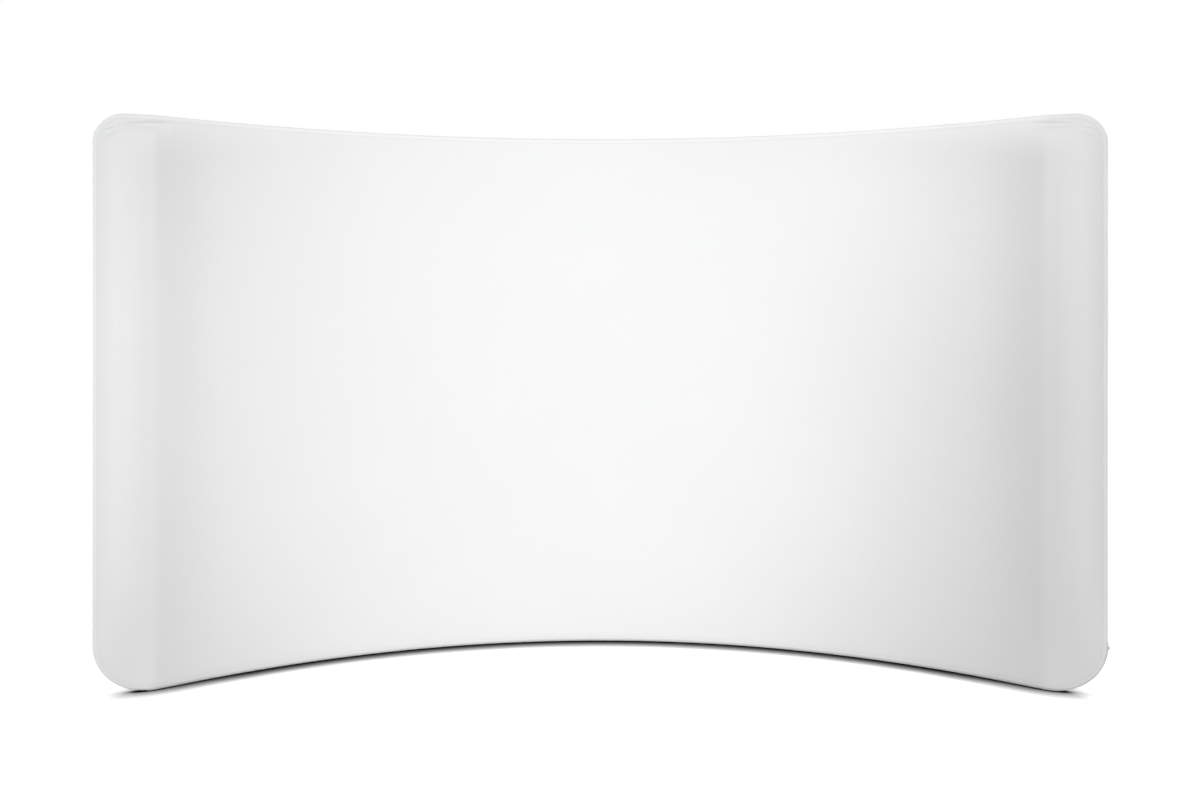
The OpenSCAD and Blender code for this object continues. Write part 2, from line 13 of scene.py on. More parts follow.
import bmesh
import bpy
import numpy as np
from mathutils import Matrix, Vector


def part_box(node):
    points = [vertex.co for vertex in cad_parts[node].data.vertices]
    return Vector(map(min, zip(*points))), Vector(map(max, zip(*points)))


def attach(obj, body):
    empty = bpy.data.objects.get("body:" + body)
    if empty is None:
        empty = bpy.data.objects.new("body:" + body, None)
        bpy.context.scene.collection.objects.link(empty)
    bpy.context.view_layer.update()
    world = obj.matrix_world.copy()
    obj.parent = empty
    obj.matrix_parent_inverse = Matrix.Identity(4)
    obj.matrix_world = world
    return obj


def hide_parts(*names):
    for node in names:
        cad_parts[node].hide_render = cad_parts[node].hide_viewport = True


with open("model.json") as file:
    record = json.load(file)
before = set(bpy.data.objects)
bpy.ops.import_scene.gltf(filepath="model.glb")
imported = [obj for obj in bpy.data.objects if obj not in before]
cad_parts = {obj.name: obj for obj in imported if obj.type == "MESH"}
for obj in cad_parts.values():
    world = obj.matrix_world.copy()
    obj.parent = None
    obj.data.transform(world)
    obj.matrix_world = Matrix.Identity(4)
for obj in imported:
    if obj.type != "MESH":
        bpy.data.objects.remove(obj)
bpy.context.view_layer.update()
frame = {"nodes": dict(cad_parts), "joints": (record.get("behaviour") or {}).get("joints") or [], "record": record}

# %% [markdown]
# ## The wall's plan
#
# Every soft piece here is cut flat and then bent along one line: the centre line of the
# tubes, seen from above. It is an arc, a short straight stub, a tight turn back out, and a
# straight wing up to the upright. Working on that line keeps the cloth easy to think
# about: a place on it is a distance along the wall, a distance towards the back, and a
# height. The arc's centre and the wing's direction are read from the frame, so the cloth
# fits whatever the frame says.

# %% Sizes of the frame, in metres
CURVE_R = 3.0
TURN_R = 0.1
TURN = math.asin(0.28)  # the angle of the turn back out, in radians
WING_STUB = 0.114
WING_L = 0.19
TUBE_R = 0.016
COVER_R = 0.0178
TOP_BEND_R = 0.105
LOW_BEND_R = 0.18
ZIP_HALF_GAP = 0.0065
ZIP_RISE = 0.012

slider_joint = next(j for j in frame["joints"] if j["name"] == "zip_slider_run")
WING_ANGLE = math.atan2(slider_joint["axis"][0], slider_joint["axis"][1])
HALF_ANGLE = WING_ANGLE + TURN
ARC_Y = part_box("top_rail_2")[1].y - TUBE_R - CURVE_R
LOW_BEND_Z = slider_joint["pos_m"][2]
LOW_Z = LOW_BEND_Z - LOW_BEND_R
TOP_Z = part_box("front_panel")[1].z - COVER_R
ARC_END = CURVE_R * HALF_ANGLE
STUB_END = ARC_END + WING_STUB
TURN_END = STUB_END + TURN_R * TURN
SIDE_U = TURN_END + WING_L
print(f"half angle {math.degrees(HALF_ANGLE):.2f} degrees, half length {SIDE_U:.4f} m")


# %% Bend a flat place to the plan
def plan(u):
    """The centre line u metres from the middle: x, y, and the direction to the back."""
    side, u = np.sign(u), np.abs(u)
    arc = np.minimum(u, ARC_END) / CURVE_R
    stub = np.clip(u - ARC_END, 0, WING_STUB)
    turned = np.clip((u - STUB_END) / TURN_R, 0, TURN)
    wing = np.maximum(u - TURN_END, 0)
    heading = np.where(u < STUB_END, arc, HALF_ANGLE - turned)
    x = CURVE_R * np.sin(arc) + stub * math.cos(HALF_ANGLE) + wing * math.cos(WING_ANGLE)
    y = CURVE_R * np.cos(arc) - stub * math.sin(HALF_ANGLE) - wing * math.sin(WING_ANGLE)
    x = x + TURN_R * (math.sin(HALF_ANGLE) - np.sin(HALF_ANGLE - turned))
    y = y + TURN_R * (math.cos(HALF_ANGLE) - np.cos(HALF_ANGLE - turned))
    return side * x, ARC_Y + y, side * np.sin(heading), np.cos(heading)


def bend(u, back, z):
    """Points of the wall from places along it, towards its back, and up."""
    x, y, back_x, back_y = plan(np.asarray(u, float))
    return np.stack(np.broadcast_arrays(x + back * back_x, y + back * back_y, z), axis=-1)


print("upright stands at", [round(float(v), 4) for v in bend(SIDE_U, 0, 0)])

# %% [markdown]
# ## Camera, floor and light
#
# The wall stands in front of plain white. The camera is level with a tall person's
# shoulder, about four and a half metres from the middle of the wall, with a wide lens: that
# is why the two ends, which are nearer, look taller than the middle. The view is shifted
# down, not tilted, so uprights stay upright.

# %% Camera
EYE = Vector((0.0, -4.266, 1.544))
camera_data = bpy.data.cameras.new("camera")
camera_data.lens = 30
camera_data.sensor_width = 36
camera_data.shift_y = -0.08
camera = bpy.data.objects.new("camera", camera_data)
camera.location = EYE
camera.rotation_euler = (math.pi / 2, 0, 0)
bpy.context.scene.collection.objects.link(camera)
bpy.context.scene.camera = camera
bpy.context.scene.view_settings.view_transform = "Standard"
print("camera at", [round(v, 3) for v in EYE], "with a", camera_data.lens, "mm lens")

# %% [markdown]
# A material is a small network of nodes. These helpers add a node, fill its sockets with
# plain values or with another node's result, and do one step of arithmetic, so that each
# finish further down reads as a short recipe.

# %% Small helpers for materials
def new_material(name):
    """An empty material with its output node."""
    material = bpy.data.materials.new(name)
    material.use_nodes = True
    tree = material.node_tree
    tree.nodes.clear()
    return material, tree, tree.nodes.new("ShaderNodeOutputMaterial")


def add(tree, kind, **settings):
    """A node with its properties set."""
    node = tree.nodes.new(kind)
    for name, value in settings.items():
        setattr(node, name, value)
    return node


def feed(tree, socket, value):
    """Links a node's output to a socket, or writes a plain value there."""
    if isinstance(value, bpy.types.NodeSocket):
        tree.links.new(value, socket)
    else:
        socket.default_value = value


def math_node(tree, operation, a, b=0.0, c=0.0):
    """One step of arithmetic on up to three values or sockets."""
    node = add(tree, "ShaderNodeMath", operation=operation)
    for socket, value in zip(node.inputs, (a, b, c)):
        feed(tree, socket, value)
    return node.outputs[0]


def times(tree, a, b):
    """One value times another."""
    return math_node(tree, "MULTIPLY", a, b)


def remap(tree, value, low, high, to_low, to_high):
    """Moves a value from one range to another, and stops at the ends."""
    node = add(tree, "ShaderNodeMapRange")
    for socket, number in zip(node.inputs, (value, low, high, to_low, to_high)):
        feed(tree, socket, number)
    return node.outputs[0]


def split(tree, place):
    """A place's three numbers."""
    node = add(tree, "ShaderNodeSeparateXYZ")
    feed(tree, node.inputs[0], place)
    return node.outputs


def object_place(tree):
    """The place on the object, in metres."""
    return add(tree, "ShaderNodeTexCoord").outputs["Object"]


# %% [markdown]
# The floor is white in the picture whatever the lamps do, but it has to keep the wall's
# shadow. So the camera, and any shiny part, sees pale paint with a glow of its own. What
# the floor throws back at the cloth comes off a much darker paint, so that it doesn't light
# the wall's foot too much. In the narrow nook under the wall's round foot, an occlusion
# node takes the pale paint and the glow away, as a painted shadow on top of the lamps' own.
# That painted shadow is a dark line along the foot, sharp in the middle and softer towards
# the two ends, as in the photograph.

# %% Floor
FLOOR_HALF = 40.0
FLOOR_SEEN = 0.95
FLOOR_BOUNCE = 0.22
FLOOR_GLOW = 0.78
NOOK_REACH = 0.12
NOOK_SAMPLES = 24
# painted shadow: the occlusion node's value where the floor is painted black, and where it is all white
PAINTED_SHADOW_BLACK, PAINTED_SHADOW_WHITE = 0.42, 0.93
# how steeply the painted shadow gives way to white in the middle and at the ends, and where that changes
STEEP_MIDDLE, STEEP_ENDS = 2.3, 0.9
STEEP_TO, SOFT_FROM = 1.45, 1.85


def seen_directly(tree):
    """1 for what the camera sees, also in metal or through a clear part, and else 0."""
    path = add(tree, "ShaderNodeLightPath")
    direct = math_node(tree, "MAXIMUM", path.outputs["Is Camera Ray"],
                       path.outputs["Is Glossy Ray"])
    return math_node(tree, "MAXIMUM", direct, path.outputs["Is Transmission Ray"])


def blend_value(tree, factor, low, high):
    """low where factor is 0, high where it is 1."""
    mix = add(tree, "ShaderNodeMix", data_type="FLOAT")
    feed(tree, mix.inputs[0], factor)
    feed(tree, mix.inputs[2], low)
    feed(tree, mix.inputs[3], high)
    return mix.outputs[0]


bpy.ops.object.select_all(action="DESELECT")
bpy.ops.mesh.primitive_plane_add(size=2 * FLOOR_HALF, location=(0, 0, 0))
floor = bpy.context.object
floor.name = "floor"
material, tree, output = new_material("floor_white")
# painted shadow: an occlusion node darkens the floor's paint and glow under the wall's foot, more sharply in the
# middle than towards the ends
nook = add(tree, "ShaderNodeAmbientOcclusion", samples=NOOK_SAMPLES)
nook.inputs["Distance"].default_value = NOOK_REACH
painted_shadow_range = remap(tree, nook.outputs["AO"], PAINTED_SHADOW_BLACK, PAINTED_SHADOW_WHITE, 0.0, 1.0)
from_middle = math_node(tree, "ABSOLUTE", split(tree, object_place(tree))[0])
painted_shadow_steepness = remap(tree, from_middle, STEEP_TO, SOFT_FROM, STEEP_MIDDLE, STEEP_ENDS)
outside_painted_shadow = math_node(tree, "POWER", painted_shadow_range, painted_shadow_steepness)
is_seen = seen_directly(tree)
paint = add(tree, "ShaderNodeBsdfDiffuse")
seen_white = times(tree, outside_painted_shadow, FLOOR_SEEN)
feed(tree, paint.inputs["Color"], blend_value(tree, is_seen, FLOOR_BOUNCE, seen_white))
glow = add(tree, "ShaderNodeEmission")
seen_glow = times(tree, times(tree, outside_painted_shadow, FLOOR_GLOW), is_seen)
feed(tree, glow.inputs["Strength"], seen_glow)
both = add(tree, "ShaderNodeAddShader")
tree.links.new(paint.outputs[0], both.inputs[0])
tree.links.new(glow.outputs[0], both.inputs[1])
tree.links.new(both.outputs[0], output.inputs["Surface"])
floor.data.materials.append(material)
print("floor is", FLOOR_SEEN, "white to the camera and", FLOOR_BOUNCE, "to the cloth")

# %% [markdown]
# Beyond the floor there is nothing but white. The camera sees it at full strength, and so
# does metal, but as light on the cloth it is weak, because a cloth that is lit alike from
# everywhere looks flat.

# %% White surroundings
SKY_STRENGTH = 0.04
world = bpy.data.worlds.new("studio")
bpy.context.scene.world = world
world.use_nodes = True
tree = world.node_tree
tree.nodes.clear()
background = add(tree, "ShaderNodeBackground")
background.inputs["Color"].default_value = (1, 1, 1, 1)
feed(tree, background.inputs["Strength"],
     blend_value(tree, seen_directly(tree), SKY_STRENGTH, 1.0))
world_output = add(tree, "ShaderNodeOutputWorld")
tree.links.new(background.outputs[0], world_output.inputs["Surface"])
print("surroundings light the cloth at a strength of", SKY_STRENGTH)

# %% [markdown]
# Eight lamps. Two broad windows stand low and far off, to the left and right of the camera:
# on a wall that curves in, each end turns away from one of them and goes grey, as in the
# photograph. A wide, soft-edged spot lifts the middle, and a small one the upper right. The
# light from overhead is weak, because cloth that stands forward would catch it. Two rim
# lamps, low on either side and a little behind, draw the round edges. A soft box at the
# back shows the back panel.


# %% Lamps
def light(name, kind, energy, place, target, **settings):
    """A lamp at its place, turned to its target."""
    data = bpy.data.lights.new(name, kind)
    data.energy = energy
    for setting, value in settings.items():
        setattr(data, setting, value)
    lamp = bpy.data.objects.new(name, data)
    lamp.location = place
    lamp.rotation_mode = "QUATERNION"
    lamp.rotation_quaternion = (Vector(target) - Vector(place)).to_track_quat("-Z", "Y")
    bpy.context.scene.collection.objects.link(lamp)
    return lamp


WALL_FOOT = (0, 0, 0)
WINDOW_BLUR, OVERHEAD_BLUR, RIM_BLUR = math.radians(8), math.radians(20), math.radians(6)
lamps = [
    light("window_left", "SUN", 1.09, (-3.0, -8.0, 0.75), WALL_FOOT, angle=WINDOW_BLUR),
    light("window_right", "SUN", 1.0, (3.0, -8.0, 0.75), WALL_FOOT, angle=WINDOW_BLUR),
    light("middle", "SPOT", 885, (0.4, -8.4, 2.2), (-0.35, 0.3, 1.35),
          spot_size=math.radians(33), spot_blend=0.8, shadow_soft_size=0.6),
    light("high_right", "SPOT", 230, (-2.0, -6.5, 2.6), (1.6, -0.1, 2.35),
          spot_size=math.radians(17.5), spot_blend=1.0, shadow_soft_size=0.4),
    light("overhead", "SUN", 0.9, (-0.16, 0.26, 8.0), WALL_FOOT, angle=OVERHEAD_BLUR),
    light("rim_left", "SUN", 1.6, (-8.0, 2.5, 0.3), WALL_FOOT, angle=RIM_BLUR),
    light("rim_right", "SUN", 0.8, (8.0, 2.5, 0.3), WALL_FOOT, angle=RIM_BLUR),
    light("behind", "AREA", 460, (1.6, 7.5, 4.0), (0, 0.3, 1.0),
          shape="RECTANGLE", size=4.0, size_y=3.0),
]
print(len(lamps), "lamps:", [lamp.name for lamp in lamps])

# %% [markdown]
# ## The cover
#
# A cover like this is two panels of knitted polyester, front and back, cut to the wall's
# unrolled outline with rounded corners and sewn together round the edge. Along the floor
# the two are joined by a zip. Each panel starts here as a flat grid. Its outer rows are
# the stretch that wraps a quarter of the tube, and where two of them meet at a corner
# they fall on one line, which the merge by distance closes.

# %% Rows and columns of the cut
RIM_STEPS = 7
OPEN_STEP = 0.04
FOLD_STEP = 0.008
FOLDS_BEFORE = 0.12
CORNER_COLUMNS = 30
FOOT_STEP, LOW_STEP, LOW_TO = 0.012, 0.015, 0.15
TICK_HEIGHTS = (0.265, 2.035)
TICK_ZONE, TICK_STEP = 0.013, 0.0026
UPPER_STEP = 0.0035
TOP_ZONE, TOP_STEP = 0.036, 0.0016


def spaced(stops, end):
    """Numbers from the first stop's place to the end, at each stop's own spacing."""
    out = [stops[0][0]]
    next_places = [place for place, _ in stops[1:]] + [end]
    for (place, step), next_place in zip(stops, next_places):
        count = max(1, round((next_place - place) / step))
        out += [place + (next_place - place) * i / count for i in range(1, count + 1)]
    return np.array(out)


# along the wall: fine over each end, and finer still towards the tip of the round corner
corner_from = SIDE_U - LOW_BEND_R
corner_angles = np.radians(np.linspace(0, 90, CORNER_COLUMNS))
corner = corner_from + LOW_BEND_R * np.sin(corner_angles)
half = spaced([(0, OPEN_STEP), (ARC_END - FOLDS_BEFORE, FOLD_STEP)], corner_from)
half = np.concatenate([half, corner[1:]])
COLUMNS = np.concatenate([-half[:0:-1], half])
# up the wall, as a share of each column's height: fine where the tubes' joints show on the
# side edges, and near the top, where the folds are
tall = TOP_Z - LOW_Z
side_low, side_high = LOW_BEND_Z, TOP_Z - TOP_BEND_R
tick_low, tick_high = [(z - side_low) / (side_high - side_low) * tall for z in TICK_HEIGHTS]
heights = spaced([(0, FOOT_STEP),
                  (tick_low - TICK_ZONE, TICK_STEP), (tick_low + TICK_ZONE, LOW_STEP),
                  (LOW_TO, OPEN_STEP),
                  (tick_high - TICK_ZONE, TICK_STEP), (tick_high + TICK_ZONE, UPPER_STEP),
                  (tall - TOP_ZONE, TOP_STEP)], tall)
ROWS = heights / tall
print("grid", len(COLUMNS), "by", len(ROWS))

# %% [markdown]
# ### How stretched cloth settles
#
# Between the tubes the cloth isn't pressed on anything. It is pulled hard up and down, and
# more gently along the wall, and it settles where those two pulls balance: a little forward
# of the arc all over, and a little behind the sharp turn near each end, which rounds that
# turn off at half height. The loop below relaxes a coarse grid of the cloth to that
# balance. On the back panel the two posts stand in the way, so the cloth can't pass them.
# In the photograph the front cloth isn't flat between the turn and the upright either: it
# stands forward there in a low belly, a little fuller on the right. The cell after the loop
# adds that.

# %% Relax the cloth
def smooth(x):
    """A ramp from 0 to 1 that starts and ends gently."""
    x = np.clip(x, 0, 1)
    return x * x * (3 - 2 * x)


PULL_RATIO = 0.0015
RELAX_ROUNDS = 3000
RELAX_COLUMNS, RELAX_ROWS = 213, 47
POST_X = 0.48
POST_U = CURVE_R * math.asin(POST_X / CURVE_R)
relax_u = np.linspace(-SIDE_U, SIDE_U, RELAX_COLUMNS)
relax_z = np.linspace(LOW_Z, TOP_Z, RELAX_ROWS)


def relax(has_posts):
    """How far forward the cloth settles, on the coarse grid."""
    step_u, step_z = relax_u[1] - relax_u[0], relax_z[1] - relax_z[0]
    mid_u = (relax_u[1:] + relax_u[:-1]) / 2
    _, _, back_x, back_y = plan(mid_u)
    turning = np.diff(np.arctan2(back_x, back_y)) / step_u
    along, up = PULL_RATIO / step_u**2, 1 / step_z**2
    forward = np.zeros((len(relax_u), len(relax_z)))
    posts = [int(np.argmin(abs(relax_u - u))) for u in (-POST_U, POST_U)]
    for _ in range(RELAX_ROUNDS):
        inner = along * (forward[2:, 1:-1] + forward[:-2, 1:-1])
        inner += up * (forward[1:-1, 2:] + forward[1:-1, :-2])
        inner += PULL_RATIO * turning[:, None]
        forward[1:-1, 1:-1] = inner / (2 * along + 2 * up)
        if has_posts:
            forward[posts] = np.minimum(forward[posts], 0)
    return forward


def settled(forward, u, z):
    """The relaxed cloth between the coarse grid's points."""
    i = np.clip(np.searchsorted(relax_u, u) - 1, 0, len(relax_u) - 2)
    j = np.clip(np.searchsorted(relax_z, z) - 1, 0, len(relax_z) - 2)
    a = np.clip((u - relax_u[i]) / (relax_u[1] - relax_u[0]), 0, 1)
    b = np.clip((z - relax_z[j]) / (relax_z[1] - relax_z[0]), 0, 1)
    low = forward[i, j] * (1 - a) + forward[i + 1, j] * a
    high = forward[i, j + 1] * (1 - a) + forward[i + 1, j + 1] * a
    return low * (1 - b) + high * b


forward_front, forward_back = relax(False), relax(True)
print("front settles forward by", round(float(forward_front.max()) * 1000, 1),
      "mm and back by", round(float(forward_front.min()) * 1000, 1), "mm")

# %% The belly between turn and upright
BELLY_LEFT, BELLY_RIGHT = 0.031, 0.038
BELLY_FROM = ARC_END - 0.14
BELLY_STEEP = TURN_END + 0.02
BELLY_TOP = TURN_END + 0.09
BELLY_CURVE = 2.2
BELLY_RISE_TOP = 0.2
BELLY_RISE_FOOT = 0.45


def bellied(u, z):
    """How far the front cloth stands forward between the turn and the upright."""
    belly = np.where(u < 0, BELLY_LEFT, BELLY_RIGHT)
    u = np.abs(u)
    # it rises more and more steeply to just past the turn, levels off, and falls to the side
    rising, level = BELLY_STEEP - BELLY_FROM, BELLY_TOP - BELLY_STEEP
    inner = np.clip((u - BELLY_FROM) / rising, 0, 1) ** BELLY_CURVE * rising / BELLY_CURVE
    inner += level * (1 - (1 - np.clip((u - BELLY_STEEP) / level, 0, 1)) ** 2) / 2
    outer = np.clip((SIDE_U - u) / (SIDE_U - BELLY_TOP), 0, 1)
    lift = np.where(u < BELLY_TOP, inner / (rising / BELLY_CURVE + level / 2),
                    np.sin(outer * math.pi / 2))
    ends = np.sin(np.clip((TOP_Z - z) / BELLY_RISE_TOP, 0, 1) * math.pi / 2)
    ends = ends * smooth((z - LOW_Z) / BELLY_RISE_FOOT)
    return belly * lift * ends


at_middle = (TOP_Z + LOW_Z) / 2
print("belly", [round(float(bellied(side * BELLY_TOP, at_middle)) * 1000) for side in (-1, 1)],
      "mm forward at the left and right")

# %% [markdown]
# ### Folds
#
# The cloth can't shrink enough on the inside of a bend, so a few short folds stay there:
# one lying under the top tube where it turns, and two that run in from each round top
# corner. A fold is a narrow groove, deepest in its middle. Beside the two at the corner the
# cloth also stands up in soft ridges.

# %% Place the folds
# each fold on the right: from (along, height), to (along, height), then its depth, how wide
# it is above and below its line, and how much the cloth stands up beside it
FOLDS = [
    ((TURN_END - 0.072, TOP_Z - 0.0140), (TURN_END + 0.100, TOP_Z - 0.0265),
     0.0125, 0.0062, 0.0310, 0.0),
    ((SIDE_U - 0.088, TOP_Z - 0.0400), (SIDE_U - 0.010, TOP_Z - 0.0625),
     0.0066, 0.0046, 0.0065, 0.4),
    ((SIDE_U - 0.086, TOP_Z - 0.0640), (SIDE_U - 0.004, TOP_Z - 0.1030),
     0.0046, 0.0060, 0.0095, 0.4),
]
FOLD_TAPER = 0.8
RIDGE_AT = 1.7


def folded(u, z):
    """How far the cloth is pushed in by the folds."""
    depth = np.zeros(np.shape(u))
    for side in (-1, 1):
        for (u0, z0), (u1, z1), deep, above, below, lip in FOLDS:
            run = np.array([side * (u1 - u0), z1 - z0])
            length = np.hypot(*run)
            run = run / length
            du, dz = u - side * u0, z - z0
            along = np.clip((du * run[0] + dz * run[1]) / length, 0, 1)
            across = (dz * run[0] - du * run[1]) * side
            across = across / np.where(across > 0, above, below)
            spindle = np.sin(np.pi * along) ** FOLD_TAPER
            groove = np.exp(-across**2)
            ridges = np.exp(-(across - RIDGE_AT) ** 2) + np.exp(-(across + RIDGE_AT) ** 2)
            depth += deep * spindle * (groove - lip * ridges)
    return depth


print(len(FOLDS), "folds in each top corner, up to", FOLDS[0][2] * 1000, "mm deep")

# %% [markdown]
# ### The panel's edge
#
# A panel is the face between the tubes and a rim that wraps the tube. At the sides and the
# top both rims meet in a seam. Along the floor, and round the lower right corner, they stop
# earlier and leave room for the zip. On each side edge two low ridges show where the tubes
# join, as the light ticks in the photograph do.

# %% The outline and how far it wraps
def outline(u):
    """The lowest and highest tube centre line at a place along the wall."""
    past_low = np.clip(np.abs(u) - (SIDE_U - LOW_BEND_R), 0, LOW_BEND_R)
    past_top = np.clip(np.abs(u) - (SIDE_U - TOP_BEND_R), 0, TOP_BEND_R)
    low = LOW_BEND_Z - np.sqrt(LOW_BEND_R**2 - past_low**2)
    high = TOP_Z - TOP_BEND_R + np.sqrt(TOP_BEND_R**2 - past_top**2)
    return low, high


ZIP_FADE = 0.01
SEAM_HALF_GAP = 0.0002
SEAM_GROOVE = 0.0012
TICK_RISE = 0.0014
TICK_WIDE = 0.0028
SEAM_ANGLE = math.acos(SEAM_HALF_GAP / COVER_R)
ZIP_ANGLE = math.acos(ZIP_HALF_GAP / COVER_R)


def wrap_angle(u, z):
    """How far round the tube a panel's edge reaches: less where the zip runs."""
    left = 1 - smooth((-u - corner_from + ZIP_FADE) / ZIP_FADE)
    right = 1 - smooth((z - LOW_BEND_Z) / ZIP_FADE)
    return SEAM_ANGLE + (ZIP_ANGLE - SEAM_ANGLE) * left * right


print("rims wrap", [round(math.degrees(angle)) for angle in (SEAM_ANGLE, ZIP_ANGLE)],
      "degrees of the tube at the seam and at the zip")

# %% [markdown]
# ### A place for every point
#
# The cloth has to lie on the tubes exactly, and its two panels have to meet all round, so
# each point gets its place from a formula and none is pushed by hand. The grid is the face
# with seven rings round it. The rings climb round the tube, and the last one turns in a
# little for the seam. The face's points are moved to where the cloth settles. Each point
# also remembers its place on the flat cut, and how far it is from a tube.

# %% Cut a panel and bend it to the frame
FOLD_RINGS = 3


def panel_points(face, forward):
    """Each grid point's place, its place on the flat cut, and how far it is from a tube."""
    # columns and rows are counted from the face's corner, so the rim's lie before and past
    c, r = np.meshgrid(np.arange(-RIM_STEPS, len(COLUMNS) + RIM_STEPS),
                       np.arange(-RIM_STEPS, len(ROWS) + RIM_STEPS))
    past_c = np.maximum(-c, c - (len(COLUMNS) - 1))
    past_r = np.maximum(-r, r - (len(ROWS) - 1))
    ring = np.maximum(np.maximum(past_c, past_r), 0)
    u = COLUMNS[np.clip(c, 0, len(COLUMNS) - 1)]
    low, high = outline(u)
    z = low + ROWS[np.clip(r, 0, len(ROWS) - 1)] * (high - low)
    # which way the rim leaves the face
    side = np.sign(u)
    top = r > len(ROWS) / 2
    bend_r = np.where(top, TOP_BEND_R, LOW_BEND_R)
    bend_z = np.where(top, TOP_Z - TOP_BEND_R, LOW_BEND_Z)
    off_u = np.where(past_c > 0, 1, np.clip(np.abs(u) - (SIDE_U - bend_r), 0, None) / bend_r)
    off_z = np.where(past_c > 0, 0, (z - bend_z) / bend_r)
    wrapped = wrap_angle(u, z) * np.minimum(ring / (RIM_STEPS - 1), 1)
    radius = np.where(ring == RIM_STEPS, COVER_R - SEAM_GROOVE, COVER_R)
    for tick in TICK_HEIGHTS:
        ridge = TICK_RISE * np.exp(-((z - tick) / TICK_WIDE) ** 2)
        radius = radius + np.where((past_c > 0) & (ring < RIM_STEPS), ridge, 0)
    out = radius * np.sin(wrapped)
    back = face * radius * np.cos(wrapped)
    on_face = ring == 0
    back = back - np.where(on_face, settled(forward, u, z), 0)
    if face < 0:
        back = back - np.where(on_face, bellied(u, z), 0)
        back = back + np.where(ring < FOLD_RINGS, folded(u, z), 0)
    place = bend(u + side * off_u * out, back, z + off_z * out)
    flat = np.stack([u + side * off_u * COVER_R * wrapped, z + off_z * COVER_R * wrapped], -1)
    # on the face, how far the nearest tube's centre line is
    in_u, in_z = np.abs(u) - (SIDE_U - bend_r), (z - bend_z) * np.where(top, 1, -1)
    from_edge = np.minimum(-in_u, -in_z) + bend_r
    from_bend = bend_r - np.hypot(in_u, in_z)
    from_tube = np.where((in_u > 0) & (in_z > 0), from_bend, from_edge)
    return place, flat, np.where(on_face, from_tube, -COVER_R * wrapped)


# %% [markdown]
# ### Making both panels
#
# Blender's grid has as many points as the cut needs, and they are moved to their places.
# Merge by distance closes the rims where they run together round the corners. A Solidify
# modifier then turns the sheet into cloth half a millimetre thick, closed all round.

# %% Both panels
CLOTH_T = 0.0005
MERGE_WITHIN = 0.00001


def edit_all():
    """Edit mode, with all of the piece selected."""
    bpy.ops.object.mode_set(mode="EDIT")
    bpy.ops.mesh.select_all(action="SELECT")


def write_cut(piece, flat):
    """Keeps each point's place on the flat cut as the piece's UV map."""
    corner_of = np.zeros(len(piece.data.loops), np.int32)
    piece.data.loops.foreach_get("vertex_index", corner_of)
    piece.data.uv_layers[0].name = "cut"
    places = flat.reshape(-1, 2)[corner_of]
    piece.data.uv_layers[0].data.foreach_set("uv", places.reshape(-1))


def apply_modifier(piece, kind, **settings):
    """Adds a modifier and applies it."""
    bpy.context.view_layer.objects.active = piece
    modifier = piece.modifiers.new(kind, kind)
    for name, value in settings.items():
        setattr(modifier, name, value)
    bpy.ops.object.modifier_apply(modifier=modifier.name)


def make_panel(name, face, forward):
    """One panel of the cover, as a closed thin sheet."""
    place, flat, from_tube = panel_points(face, forward)
    rows, columns = place.shape[:2]
    bpy.ops.object.select_all(action="DESELECT")
    bpy.ops.mesh.primitive_grid_add(x_subdivisions=columns - 1, y_subdivisions=rows - 1)
    panel = bpy.context.object
    panel.name = name
    mesh = panel.data
    assert len(mesh.vertices) == rows * columns, (len(mesh.vertices), rows, columns)
    mesh.vertices.foreach_set("co", place.reshape(-1).astype(np.float32))
    write_cut(panel, flat)
    distance = mesh.attributes.new("from_tube", "FLOAT", "POINT")
    distance.data.foreach_set("value", from_tube.reshape(-1).astype(np.float32))
    mesh.update()
    edit_all()
    bpy.ops.mesh.remove_doubles(threshold=MERGE_WITHIN)
    bpy.ops.mesh.select_all(action="SELECT")
    if face > 0:
        bpy.ops.mesh.flip_normals()
    bpy.ops.object.mode_set(mode="OBJECT")
    apply_modifier(panel, "SOLIDIFY", thickness=CLOTH_T, offset=-1)
    bpy.ops.object.shade_smooth()
    print(name, len(panel.data.polygons), "faces")
    return panel


cover_front = make_panel("cover_front", -1, forward_front)
cover_back = make_panel("cover_back", 1, forward_back)

# %% [markdown]
# ### The knit
#
# The cloth is a white polyester knit. Close up it is rows of tiny V-shaped stitches, under
# a millimetre wide, with a faint silky gloss. From across a room it is plain white, but
# where it lies on a tube it looks a touch lighter, because the metal throws light back
# through it, and just beside the tube it looks a touch darker. Both are painted into the
# cloth's colour: painted light on the tube, and a line of painted shade beside it. The
# pattern is drawn on the panel's own flat cut, so it follows the cloth round every bend.

# %% Nodes for patterns
NOISE_LOW, NOISE_HIGH = 0.3, 0.7


def finish_group(name, **inputs):
    """An empty node group that hands out a finish, with its own inputs if it needs any."""
    group = bpy.data.node_groups.new(name, "ShaderNodeTree")
    for socket, kind in inputs.items():
        group.interface.new_socket(socket, in_out="INPUT", socket_type=f"NodeSocket{kind}")
    for socket, kind in (("Color", "Color"), ("Roughness", "Float"), ("Height", "Float")):
        group.interface.new_socket(socket, in_out="OUTPUT", socket_type=f"NodeSocket{kind}")
    return group


def close_group(group, colour, roughness, height):
    """Hands the three results of a finish out of its group."""
    out = add(group, "NodeGroupOutput")
    for socket, value in zip(("Color", "Roughness", "Height"), (colour, roughness, height)):
        feed(group, out.inputs[socket], value)
    return group


def wave(tree, value, pitch):
    """A smooth wave, from 0 to 1, that repeats every pitch metres."""
    turned = times(tree, value, 2 * math.pi / pitch)
    return math_node(tree, "MULTIPLY_ADD", math_node(tree, "SINE", turned), 0.5, 0.5)


